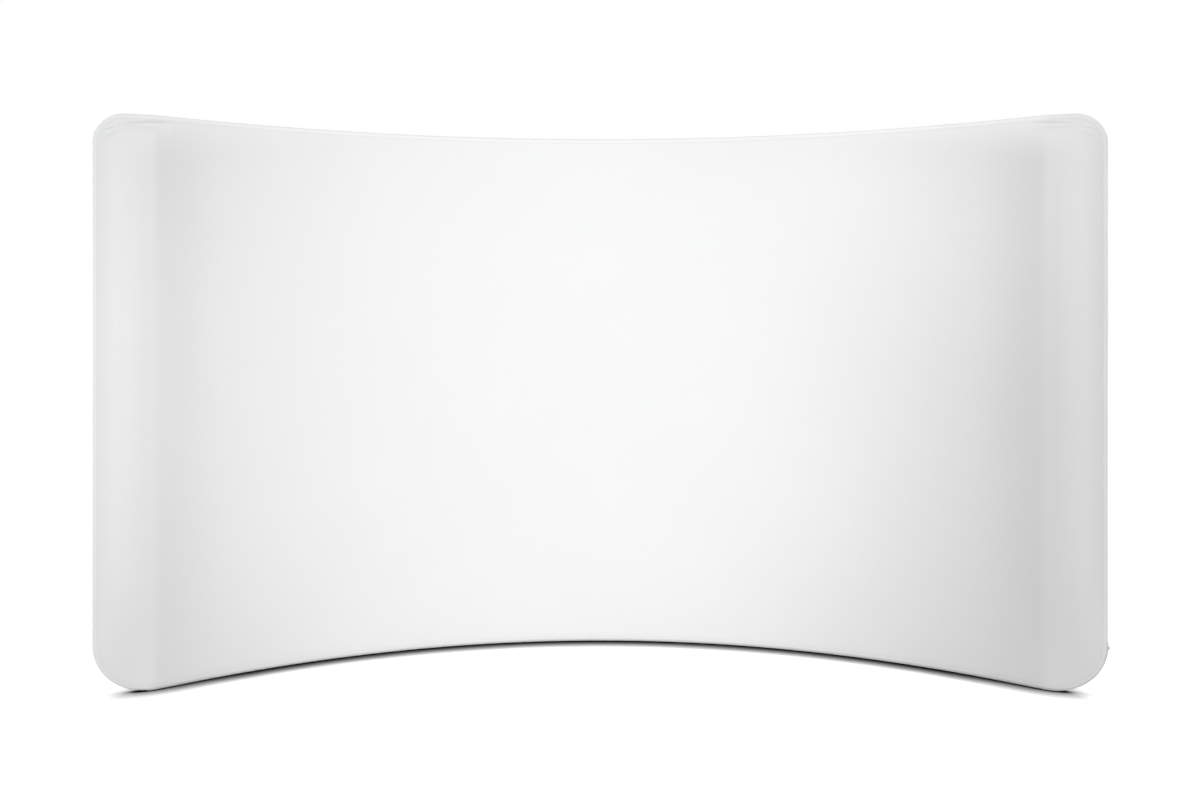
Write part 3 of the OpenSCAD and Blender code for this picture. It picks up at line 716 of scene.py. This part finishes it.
def noise(tree, vector, scale, detail=2.0):
    """Soft noise, mostly between NOISE_LOW and NOISE_HIGH."""
    node = add(tree, "ShaderNodeTexNoise")
    feed(tree, node.inputs["Vector"], vector)
    feed(tree, node.inputs["Scale"], scale)
    feed(tree, node.inputs["Detail"], detail)
    return node.outputs["Fac"]


def spread(tree, value, low, high):
    """Noise opened out to run from low to high."""
    return remap(tree, value, NOISE_LOW, NOISE_HIGH, low, high)


def stretched(tree, vector, factors):
    """The same place, scaled by its own factor along each axis."""
    node = add(tree, "ShaderNodeVectorMath", operation="MULTIPLY")
    feed(tree, node.inputs[0], vector)
    feed(tree, node.inputs[1], factors)
    return node.outputs[0]


def tinted(tree, colour, shade):
    """A colour made lighter or darker by a value."""
    tint = add(tree, "ShaderNodeVectorMath", operation="SCALE")
    feed(tree, tint.inputs[0], colour)
    feed(tree, tint.inputs["Scale"], shade)
    return tint.outputs[0]


# %% The knit
STITCH_W = 0.0009
STITCH_H = 0.0007
LEG_LEAN = 0.9
CLOTH_WHITE = (0.905, 0.908, 0.912)
YARN_STREAKS, KNIT_CLOUDS = (260.0, 3.0, 1.0), 2.2
SHADE_BETWEEN_LEGS = 0.93
# painted light on a tube and painted shade beside it: how much lighter and darker, and how far each one reaches
PAINTED_LIGHT_ON_TUBE, TUBE_BLUR = 1.035, 0.002
PAINTED_SHADE_BESIDE_TUBE, SHADE_DARKEST_AT, SHADE_LINE_END = -0.035, 0.003, 0.014


def knit_group():
    """Colour, roughness and height of the knit, from the flat cut."""
    group = finish_group("stretch_knit")
    cut = add(group, "ShaderNodeUVMap", uv_map="cut").outputs["UV"]
    along, up, _ = split(group, cut)
    # two halves of each stitch lean towards one another
    leg = math_node(group, "PINGPONG", along, STITCH_W / 2)
    legs = wave(group, math_node(group, "MULTIPLY_ADD", leg, LEG_LEAN, up), STITCH_H)
    channel = wave(group, along, STITCH_W)
    height = times(group, legs, math_node(group, "POWER", channel, 0.5))
    # the yarn is never quite even
    streaks = noise(group, stretched(group, cut, YARN_STREAKS), 1.0)
    clouds = noise(group, cut, KNIT_CLOUDS, 3.0)
    shade = math_node(group, "MULTIPLY_ADD", streaks, 0.012, 0.984)
    shade = times(group, shade, spread(group, clouds, 0.992, 1.004))
    # painted shade: the colour is darker in the low hollows between the stitch legs
    shade = times(group, shade, remap(group, height, 0.0, 0.5, SHADE_BETWEEN_LEGS, 1.0))
    # painted light where the cloth lies on the tube, and painted shade in a thin line beside it
    distance = add(group, "ShaderNodeAttribute", attribute_name="from_tube").outputs["Fac"]
    painted_tube_light = remap(group, distance, -TUBE_BLUR, TUBE_BLUR, PAINTED_LIGHT_ON_TUBE, 1.0)
    beside = remap(group, distance, 0.0, SHADE_DARKEST_AT, 0.0, 1.0)
    beyond = remap(group, distance, SHADE_DARKEST_AT, SHADE_LINE_END, 1.0, 0.0)
    line = times(group, beside, beyond)
    painted_tube_shade = math_node(group, "MULTIPLY_ADD", line, PAINTED_SHADE_BESIDE_TUBE, 1.0)
    shade = times(group, times(group, shade, painted_tube_light), painted_tube_shade)
    rough = spread(group, streaks, 0.54, 0.62)
    return close_group(group, tinted(group, CLOTH_WHITE, shade), rough, height)


# %% From a pattern to a material
def shaded(name, group, bump_depth, given=None, **fixed):
    """A material from a finish's group, its given inputs, and the shader's fixed values."""
    material, tree, output = new_material(name)
    pattern = add(tree, "ShaderNodeGroup", node_tree=group)
    for socket, value in (given or {}).items():
        pattern.inputs[socket].default_value = value
    shader = add(tree, "ShaderNodeBsdfPrincipled")
    tree.links.new(pattern.outputs["Color"], shader.inputs["Base Color"])
    tree.links.new(pattern.outputs["Roughness"], shader.inputs["Roughness"])
    bump = add(tree, "ShaderNodeBump")
    bump.inputs["Strength"].default_value = 1.0
    bump.inputs["Distance"].default_value = bump_depth
    tree.links.new(pattern.outputs["Height"], bump.inputs["Height"])
    tree.links.new(bump.outputs[0], shader.inputs["Normal"])
    for socket, value in fixed.items():
        shader.inputs[socket.replace("_", " ")].default_value = value
    tree.links.new(shader.outputs[0], output.inputs["Surface"])
    return material


def give_finish(piece, finish):
    """Makes a finish the only material of a new piece."""
    piece.data.materials.clear()
    piece.data.materials.append(finish)


KNIT_BUMP = 0.00005
knit = shaded("white_stretch_knit", knit_group(), KNIT_BUMP,
              Sheen_Weight=0.08, Sheen_Roughness=0.4)
give_finish(cover_front, knit)
give_finish(cover_back, knit)
print("knit of", STITCH_W * 1000, "by", STITCH_H * 1000, "mm stitches on both panels")

# %% [markdown]
# ## The edge, and the line that follows it
#
# Tapes, coils and stitches all run round the wall's edge. Each is made flat and straight
# first: x along the edge, y across it towards the front, and z out from the tube's centre.
# Then every point is laid on the real edge, round the bends and along the arc.

# %% The line round the wall
side_run = side_high - side_low
quarter = math.pi / 2
RUNS = (2 * corner_from, LOW_BEND_R * quarter, side_run, TOP_BEND_R * quarter,
        2 * (SIDE_U - TOP_BEND_R), TOP_BEND_R * quarter, side_run, LOW_BEND_R * quarter)
RUN_STARTS = np.concatenate([[0], np.cumsum(RUNS)])
ZIP_L = RUN_STARTS[2] + ZIP_RISE
SEAM_L = RUN_STARTS[-1] - ZIP_L
print(f"the zip is {ZIP_L:.3f} m long and the seam {SEAM_L:.3f} m")


def edge(s):
    """The tube's centre (u, z) and the way out, s metres on from the zip's left end."""
    run = np.clip(np.searchsorted(RUN_STARTS, s, side="right") - 1, 0, len(RUNS) - 1)
    d = s - RUN_STARTS[run]
    low, top = d / LOW_BEND_R, d / TOP_BEND_R
    top_u = SIDE_U - TOP_BEND_R
    none, one = np.zeros(len(d)), np.ones(len(d))
    # the floor, the lower right bend, the right side, and so on round to the left end
    runs = [
        (d - corner_from, LOW_Z * one, none, -one),
        (corner_from + LOW_BEND_R * np.sin(low), LOW_BEND_Z - LOW_BEND_R * np.cos(low),
         np.sin(low), -np.cos(low)),
        (SIDE_U * one, side_low + d, one, none),
        (top_u + TOP_BEND_R * np.cos(top), side_high + TOP_BEND_R * np.sin(top),
         np.cos(top), np.sin(top)),
        (top_u - d, TOP_Z * one, none, one),
        (-top_u - TOP_BEND_R * np.sin(top), side_high + TOP_BEND_R * np.cos(top),
         -np.sin(top), np.cos(top)),
        (-SIDE_U * one, side_high - d, -one, none),
        (-corner_from - LOW_BEND_R * np.cos(low), LOW_BEND_Z - LOW_BEND_R * np.sin(low),
         -np.cos(low), -np.sin(low)),
    ]
    return [np.choose(run, [part[i] for part in runs]) for i in range(4)]


def points_of(piece):
    """A piece's points as rows of x, y, z."""
    points = np.zeros(len(piece.data.vertices) * 3)
    piece.data.vertices.foreach_get("co", points)
    return points.reshape(-1, 3)


def lay_on_edge(piece, start, hugging):
    """Bends a straight piece round the wall's edge. A hugging piece is also bent round
    the tube itself, so its y is measured on the cover's own surface."""
    points = points_of(piece)
    x, y, z = points.T
    u, tube_z, out_u, out_z = edge(x + start)
    across, out = y, z
    if hugging:
        across, out = z * np.sin(y / COVER_R), z * np.cos(y / COVER_R)
    laid = bend(u + out_u * out, -across, tube_z + out_z * out)
    piece.data.vertices.foreach_set("co", laid.reshape(-1).astype(np.float32))
    piece.data.update()


# %% [markdown]
# The pieces are modelled as by hand: a primitive, a few steps in edit mode, and modifiers
# that are applied. These helpers keep each of those steps to one line.

# %% Small helpers for modelling
def start_piece(name, kind, **settings):
    """Adds a primitive as the start of a piece, with nothing else selected."""
    bpy.ops.object.select_all(action="DESELECT")
    getattr(bpy.ops.mesh, f"primitive_{kind}_add")(**settings)
    piece = bpy.context.object
    piece.name = name
    bpy.ops.object.transform_apply(location=True, rotation=True, scale=True)
    return piece


def select_faces(piece, where):
    """In edit mode, selects the faces whose middle passes the test."""
    bpy.ops.mesh.select_all(action="DESELECT")
    mesh = bmesh.from_edit_mesh(piece.data)
    for face in mesh.faces:
        if where(face.calc_center_median(), face.normal):
            face.select_set(True)
    bmesh.update_edit_mesh(piece.data)


SHARP_FROM = math.radians(35)


def finish_piece(piece, body, replaced=()):
    """Smooths a finished piece, puts it on its body, and hides the frame's parts it stands in for."""
    bpy.ops.object.select_all(action="DESELECT")
    piece.select_set(True)
    bpy.context.view_layer.objects.active = piece
    bpy.ops.object.shade_smooth_by_angle(angle=SHARP_FROM)
    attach(piece, body)
    if replaced:
        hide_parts(*replaced)
    print(piece.name, len(piece.data.polygons), "faces")


# %% [markdown]
# ## The zip
#
# A coil zip runs along the floor and up round the right corner: two woven tapes sewn over
# the panels' hems, and on each a nylon coil whose loops lock into the other side's. Such a
# wall's cover opens here, so that it can be pulled over the frame like a pillowcase.

# %% Woven tapes
TAPE_STEP = 0.005
TAPE_T = 0.0006
TAPE_OUT = 0.0187
# place across the tape, and how far the weave stands up there: a cord beside the coil
TAPE_PROFILE = [(0.0008, 0), (0.0020, 0), (0.0034, 0), (0.0039, 0.0001), (0.0045, 0.0001),
                (0.0050, 0), (0.0070, 0), (0.0092, -0.0001), (0.0100, -0.0001), (0.0112, 0),
                (0.0119, -0.00005)]


def round_tube(across):
    """A place straight across the tape, as a distance round the cover's surface."""
    return math.asin(across / TAPE_OUT) * COVER_R


def make_tape(name, face, replaced):
    """One woven tape, hugging the tube, with its selvedge away from the coil."""
    columns = round(ZIP_L / TAPE_STEP) + 1
    rows = len(TAPE_PROFILE)
    tape = start_piece(name, "grid", x_subdivisions=columns - 1, y_subdivisions=rows - 1)
    points = points_of(tape).reshape(rows, columns, 3)
    points[:, :, 0] = np.linspace(0, ZIP_L, columns)
    for row, (across, rise) in enumerate(TAPE_PROFILE if face > 0 else TAPE_PROFILE[::-1]):
        points[row, :, 1] = face * round_tube(across)
        points[row, :, 2] = TAPE_OUT + rise
    write_cut(tape, points[:, :, :2])
    tape.data.vertices.foreach_set("co", points.reshape(-1))
    lay_on_edge(tape, 0, hugging=True)
    apply_modifier(tape, "SOLIDIFY", thickness=TAPE_T, offset=-1)
    finish_piece(tape, "wall", replaced)
    return tape


tape_front = make_tape("zip_tape_front_woven", 1, ["zip_tape_front"])
tape_back = make_tape("zip_tape_back_woven", -1, ["zip_tape_back"])

# %% [markdown]
# ### The coil
#
# One loop is modelled: a short leg on the tape that widens to a head near the middle. An
# array repeats it along the whole zip. On the straight the two sides' heads pass the middle
# in turn, as they do when closed. Where the slider rides they stop short of it, because the
# loops can't part as it goes by.

# %% One loop of the coil, and the whole side
PITCH = 0.002
LEG_W = 0.0008
COIL_LOW, COIL_HIGH = 0.0191, 0.0211
CROWN_SPACE = 0.0003
COIL_SIDE = 0.0032
HEAD_AT = 0.0013
HEAD_REACH = 0.0012
# how far each step of the head goes on towards the middle, and how much it grows
HEAD_STEPS = ((-0.00022, 1.18), (-0.00030, 1.0), (-0.00018, 0.55))
CROWN_IN, CROWN_UP = 0.00018, 0.00015
COIL_MARGIN = 0.007
UNLOCK_RUN = 0.03
NECK_FROM, NECK_L = 0.0002, 0.0003
STEEP_FACE = 0.9


def make_coil(name, face, replaced):
    """The loops of one side of the zip."""
    height = COIL_HIGH - COIL_LOW - CROWN_SPACE
    middle = (COIL_LOW + COIL_HIGH) / 2
    coil = start_piece(name, "cube", size=1, location=(0, (COIL_SIDE + HEAD_AT) / 2, middle),
                       scale=(LEG_W, COIL_SIDE - HEAD_AT, height))
    bpy.ops.object.mode_set(mode="EDIT")
    select_faces(coil, lambda at, out: out.y < -STEEP_FACE)
    for move, grow in HEAD_STEPS:
        bpy.ops.mesh.extrude_region_move(TRANSFORM_OT_translate={"value": (0, move, 0)})
        bpy.ops.transform.resize(value=(grow, 1, min(grow, 1)), center_override=(0, 0, middle))
    select_faces(coil, lambda at, out: out.z > STEEP_FACE and at.y > HEAD_AT)
    bpy.ops.mesh.inset(thickness=CROWN_IN, depth=CROWN_UP)
    bpy.ops.object.mode_set(mode="OBJECT")
    count = int((ZIP_L - 2 * COIL_MARGIN) / PITCH)
    apply_modifier(coil, "ARRAY", count=count, use_relative_offset=False,
                   use_constant_offset=True, constant_offset_displace=(PITCH, 0, 0))
    points = points_of(coil)
    points[:, 0] += COIL_MARGIN + (PITCH / 2 if face < 0 else 0)
    # on the straight the heads reach past the middle, and the legs' outer ends stay
    locked = 1 - smooth((points[:, 0] - RUN_STARTS[1]) / UNLOCK_RUN)
    near_middle = smooth((HEAD_AT + NECK_FROM - points[:, 1]) / NECK_L)
    points[:, 1] -= near_middle * HEAD_REACH * locked
    points[:, 1] *= face
    coil.data.vertices.foreach_set("co", points.reshape(-1))
    lay_on_edge(coil, 0, hugging=False)
    if face < 0:  # mirrored, so its faces are turned back outwards
        edit_all()
        bpy.ops.mesh.flip_normals()
        bpy.ops.object.mode_set(mode="OBJECT")
    finish_piece(coil, "wall", replaced)
    return coil


coil_front = make_coil("zip_coil_front", 1, ["zip_chain_front"])
coil_back = make_coil("zip_coil_back", -1, ["zip_chain_back"])

# %% [markdown]
# ### Stitches
#
# Thread shows in two places: along the outer half of each tape, which is sewn down through
# the hem, and on both sides of the seam that joins the panels round the sides and the top.
# One stitch is a short bar with both ends pulled in. An array makes the row.

# %% Rows of stitches
STITCH_PITCH = 0.0036
BAR_L, BAR_W, BAR_T = 0.0016, 0.0005, 0.0003
TIP_L, TIP_SINK = 0.0005, 0.00008
TIP_W, TIP_T = 0.55, 0.5  # as shares of the bar's


def make_stitches(name, rows, start, length, surface):
    """Rows of stitches along the edge, each row at its own place across."""
    made = []
    for row, across in enumerate(rows):
        stitch = start_piece(f"{name}_{row}", "cube", size=1, location=(0, across, surface),
                             scale=(BAR_L, BAR_W, BAR_T))
        bpy.ops.object.mode_set(mode="EDIT")
        for way in (-1, 1):
            select_faces(stitch, lambda at, out: out.x * way > STEEP_FACE)
            bpy.ops.mesh.extrude_region_move(
                TRANSFORM_OT_translate={"value": (way * TIP_L, 0, -TIP_SINK)})
            bpy.ops.transform.resize(value=(1, TIP_W, TIP_T),
                                     center_override=(0, across, surface - TIP_SINK))
        bpy.ops.object.mode_set(mode="OBJECT")
        apply_modifier(stitch, "ARRAY", count=int(length / STITCH_PITCH),
                       use_relative_offset=False, use_constant_offset=True,
                       constant_offset_displace=(STITCH_PITCH, 0, 0))
        made.append(stitch)
    bpy.ops.object.select_all(action="DESELECT")
    for stitch in made:
        stitch.select_set(True)
    bpy.context.view_layer.objects.active = made[0]
    bpy.ops.object.join()
    made[0].name = name
    lay_on_edge(made[0], start + STITCH_PITCH, hugging=True)
    return made[0]


TAPE_ROW = 0.0095  # from the zip's middle to the row of stitches down each tape
TAPE_ROW_SHORT = 0.006
tape_rows = [side * round_tube(TAPE_ROW) for side in (-1, 1)]
zip_stitches = make_stitches("zip_stitches", tape_rows, 0, ZIP_L - TAPE_ROW_SHORT, TAPE_OUT)
finish_piece(zip_stitches, "wall")

SEAM_ROW = 0.003  # from the seam to each row beside it
SEAM_ROW_FROM, SEAM_ROW_SHORT = 0.012, 0.02
SEAM_ROW_OUT = COVER_R + 0.00008
seam_stitches = make_stitches("seam_stitches", [-SEAM_ROW, SEAM_ROW], ZIP_L + SEAM_ROW_FROM,
                              SEAM_L - SEAM_ROW_SHORT, SEAM_ROW_OUT)
finish_piece(seam_stitches, "wall")

# %% [markdown]
# ## Finishes of the harder parts
#
# The frame's tubes are satin anodised aluminium, its sleeves are plain drawn aluminium with
# lines along their length, and the spring clips are zinc-plated strip. All of it is hidden
# while the cover is on, and seen each time the wall is put up. The zip's slider, pull and
# stops are white enamel over metal, rubbed through where they touch. Each finish is one
# node group, used by every material that needs it.

# %% Drawn and anodised metal
# each noise's scale says how fine it is, and a scuff starts and is full at these values
METAL_CLOUDS, SCUFFS = 11.0, 75.0
SCUFF_FROM, SCUFF_FULL = 0.60, 0.68


def drawn_metal():
    """Metal with die lines along the tube, soft clouds, and scuffs from being handled."""
    group = finish_group("drawn_metal", Colour="Color", Grain="Vector", Smoothest="Float",
                         Roughest="Float")
    given = add(group, "NodeGroupInput").outputs
    place = object_place(group)
    lines = noise(group, stretched(group, place, given["Grain"]), 1.0, 3.0)
    clouds = noise(group, place, METAL_CLOUDS, 3.0)
    scuffs = remap(group, noise(group, place, SCUFFS, 5.0), SCUFF_FROM, SCUFF_FULL, 0.0, 1.0)
    shade = times(group, spread(group, lines, 0.955, 1.02), spread(group, clouds, 0.97, 1.02))
    shade = times(group, shade, remap(group, scuffs, 0.0, 1.0, 1.0, 0.93))
    rough = spread(group, lines, given["Smoothest"], given["Roughest"])
    rough = math_node(group, "ADD", rough, remap(group, scuffs, 0.0, 1.0, 0.0, 0.12))
    height = math_node(group, "SUBTRACT", lines, remap(group, scuffs, 0.0, 1.0, 0.0, 0.8))
    return close_group(group, tinted(group, given["Colour"], shade), rough, height)


METAL = drawn_metal()
METAL_BUMP = 0.00002
EVEN_GRAIN, RIVET_GRAIN = (900.0, 900.0, 900.0), (420.0, 420.0, 420.0)
ALONG_RAILS, ALONG_UPRIGHTS = (30.0, 1500.0, 1500.0), (1500.0, 1500.0, 30.0)
BARE_ALUMINIUM = (0.80, 0.80, 0.79, 1)


def metal(name, colour, grain, smoothest, roughest, bump_depth=METAL_BUMP):
    """The drawn metal in one colour, with its own grain and roughness."""
    given = {"Colour": colour, "Grain": grain, "Smoothest": smoothest, "Roughest": roughest}
    return shaded(name, METAL, bump_depth, given, Metallic=1.0)


anodised = metal("anodised_tube", (0.74, 0.75, 0.765, 1), EVEN_GRAIN, 0.34, 0.42, 0.00001)
sleeve_rows = metal("drawn_sleeve_rows", BARE_ALUMINIUM, ALONG_RAILS, 0.26, 0.40)
sleeve_sides = metal("drawn_sleeve_sides", BARE_ALUMINIUM, ALONG_UPRIGHTS, 0.26, 0.40)
rivet_metal = metal("rivet_metal", (0.84, 0.84, 0.83, 1), RIVET_GRAIN, 0.24, 0.34)
print("metal on", [finish.name for finish in (anodised, sleeve_rows, sleeve_sides, rivet_metal)])

# %% [markdown]
# Zinc plating is bright, with small crystals that catch the light one by one. The enamel
# is smooth and thick, a little uneven like an orange's peel, and grey where it is rubbed.


# %% Zinc and enamel
def mixed(tree, factor, first, second):
    """One colour passing into another."""
    mix = add(tree, "ShaderNodeMix", data_type="RGBA")
    feed(tree, mix.inputs[0], factor)
    feed(tree, mix.inputs[6], first)
    feed(tree, mix.inputs[7], second)
    return mix.outputs[2]


ZINC_CRYSTALS, ZINC_CLOUDS = 420, 60.0
ZINC_BLUE, ZINC_YELLOW = (0.70, 0.72, 0.76, 1), (0.76, 0.74, 0.68, 1)
ENAMEL_PEEL, ENAMEL_RUBS, ENAMEL_CLOUDS = 900.0, 210.0, 45.0
RUB_FROM, RUB_FULL, RUB_SHARE = 0.63, 0.70, 0.55
ENAMEL_WHITE, RUBBED_GREY = (0.86, 0.86, 0.855), (0.52, 0.52, 0.53, 1)


def zinc_plate():
    """Bright zinc on spring strip: small crystals, each a little lighter or darker."""
    group = finish_group("zinc_plate")
    place = object_place(group)
    crystals = add(group, "ShaderNodeTexVoronoi")
    feed(group, crystals.inputs["Vector"], place)
    feed(group, crystals.inputs["Scale"], ZINC_CRYSTALS)
    tone = add(group, "ShaderNodeSeparateColor")
    feed(group, tone.inputs[0], crystals.outputs["Color"])
    clouds = noise(group, place, ZINC_CLOUDS, 3.0)
    shade = remap(group, tone.outputs[0], 0.0, 1.0, 0.93, 1.03)
    colour = mixed(group, clouds, ZINC_BLUE, ZINC_YELLOW)
    rough = remap(group, tone.outputs[1], 0.0, 1.0, 0.22, 0.36)
    return close_group(group, tinted(group, colour, shade), rough, clouds)


def enamel_finish():
    """White stoved enamel with a slight orange peel, rubbed grey in small places."""
    group = finish_group("enamel_finish")
    place = object_place(group)
    peel = noise(group, place, ENAMEL_PEEL)
    rub = remap(group, noise(group, place, ENAMEL_RUBS, 5.0), RUB_FROM, RUB_FULL, 0.0, 1.0)
    clouds = spread(group, noise(group, place, ENAMEL_CLOUDS), 0.97, 1.0)
    white = tinted(group, ENAMEL_WHITE, clouds)
    colour = mixed(group, times(group, rub, RUB_SHARE), white, RUBBED_GREY)
    rough = remap(group, rub, 0.0, 1.0, 0.28, 0.5)
    return close_group(group, colour, rough, math_node(group, "SUBTRACT", peel, rub))


zinc = shaded("zinc_plated_strip", zinc_plate(), METAL_BUMP, Metallic=1.0)
enamel = shaded("white_enamel", enamel_finish(), METAL_BUMP,
                Coat_Weight=0.3, Coat_Roughness=0.12)
print("made", zinc.name, "and", enamel.name)

# %% [markdown]
# The coil is one stiff nylon filament and the thread is twisted from many soft ones. Both
# get the same finish, with a finer grain and less shine on the thread. The tapes are woven
# in a herringbone, drawn on their own flat cut as the knit is.

# %% Nylon, thread and twill
NYLON_CLOUDS = 35.0


def spun_nylon():
    """Spun nylon: a soft white with a fine grain."""
    group = finish_group("spun_nylon", Colour="Color", Grain="Float", Smoothest="Float",
                         Roughest="Float")
    given = add(group, "NodeGroupInput").outputs
    place = object_place(group)
    fine = noise(group, place, given["Grain"])
    clouds = spread(group, noise(group, place, NYLON_CLOUDS, 3.0), 0.975, 1.01)
    shade = times(group, clouds, spread(group, fine, 0.96, 1.02))
    rough = spread(group, fine, given["Smoothest"], given["Roughest"])
    return close_group(group, tinted(group, given["Colour"], shade), rough, fine)


RIB_PITCH, ZIGZAG_W, PICK_PITCH = 0.0011, 0.0022, 0.0004
PICK_SHARE = 0.35
TWILL_STREAKS = (8.0, 900.0, 1.0)
TAPE_WHITE = (0.88, 0.88, 0.875)


def woven_tape():
    """A herringbone weave, drawn on the tape's own flat cut."""
    group = finish_group("herringbone_weave")
    cut = add(group, "ShaderNodeUVMap", uv_map="cut").outputs["UV"]
    along, across, _ = split(group, cut)
    zigzag = math_node(group, "PINGPONG", across, ZIGZAG_W)
    ribs = wave(group, math_node(group, "ADD", along, zigzag), RIB_PITCH)
    picks = wave(group, across, PICK_PITCH)
    height = math_node(group, "MULTIPLY_ADD", picks, PICK_SHARE, ribs)
    streaks = noise(group, stretched(group, cut, TWILL_STREAKS), 1.0)
    # painted shade: the weave's colour is darker where it lies low
    shade = times(group, remap(group, height, 0.0, 1.2, 0.86, 1.0),
                  spread(group, streaks, 0.98, 1.01))
    rough = spread(group, streaks, 0.78, 0.9)
    return close_group(group, tinted(group, TAPE_WHITE, shade), rough, height)


NYLON = spun_nylon()
COIL_GIVEN = {"Colour": (0.90, 0.90, 0.89, 1), "Grain": 3000.0,
              "Smoothest": 0.34, "Roughest": 0.46}
THREAD_GIVEN = {"Colour": (0.93, 0.93, 0.92, 1), "Grain": 5200.0,
                "Smoothest": 0.6, "Roughest": 0.75}
COIL_BUMP, THREAD_BUMP, TWILL_BUMP = 0.00001, 0.00004, 0.00006
coil_nylon = shaded("coil_nylon", NYLON, COIL_BUMP, COIL_GIVEN)
thread = shaded("white_thread", NYLON, THREAD_BUMP, THREAD_GIVEN, Sheen_Weight=0.2)
twill = shaded("woven_zip_tape", woven_tape(), TWILL_BUMP, Sheen_Weight=0.1)
for piece, finish in ((tape_front, twill), (tape_back, twill), (coil_front, coil_nylon),
                      (coil_back, coil_nylon), (zip_stitches, thread),
                      (seam_stitches, thread)):
    give_finish(piece, finish)
print("made", coil_nylon.name, thread.name, "and", twill.name)

# %% [markdown]
# Each solid of the frame keeps its own mesh and gets the finish of its material slot. Only
# the sleeves differ among themselves: their die lines run along the tube they stand in.

# %% Finishes on the frame
FINISH_OF_SLOT = {"tube": anodised, "rivet": rivet_metal, "spring_steel": zinc,
                  "zip_metal": enamel, "zip_chain": coil_nylon, "zip_tape": twill,
                  "cover_fabric": knit, "sleeve": sleeve_rows}
UPRIGHT_SLEEVES = ("left_sleeves", "right_sleeves", "post_sleeves")

for subpart in frame["record"]["subparts"]:
    node = frame["nodes"][subpart["node"]]
    finish = FINISH_OF_SLOT[subpart["material_slot"]]
    if node.name in UPRIGHT_SLEEVES:
        finish = sleeve_sides
    for material_slot in node.material_slots:
        material_slot.material = finish

# %% [markdown]
# ## Putting the panels on the wall
#
# Last, each cloth panel is put on the wall's body, and the frame's plain panel that it
# stands in for is hidden. A stretch cover is cut smaller than the frame, but the sizes
# here are those of the stretched panel laid flat, so that the numbers can be checked
# against the wall.

for panel, node in ((cover_front, "front_panel"), (cover_back, "back_panel")):
    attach(panel, "wall")
    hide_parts(node)
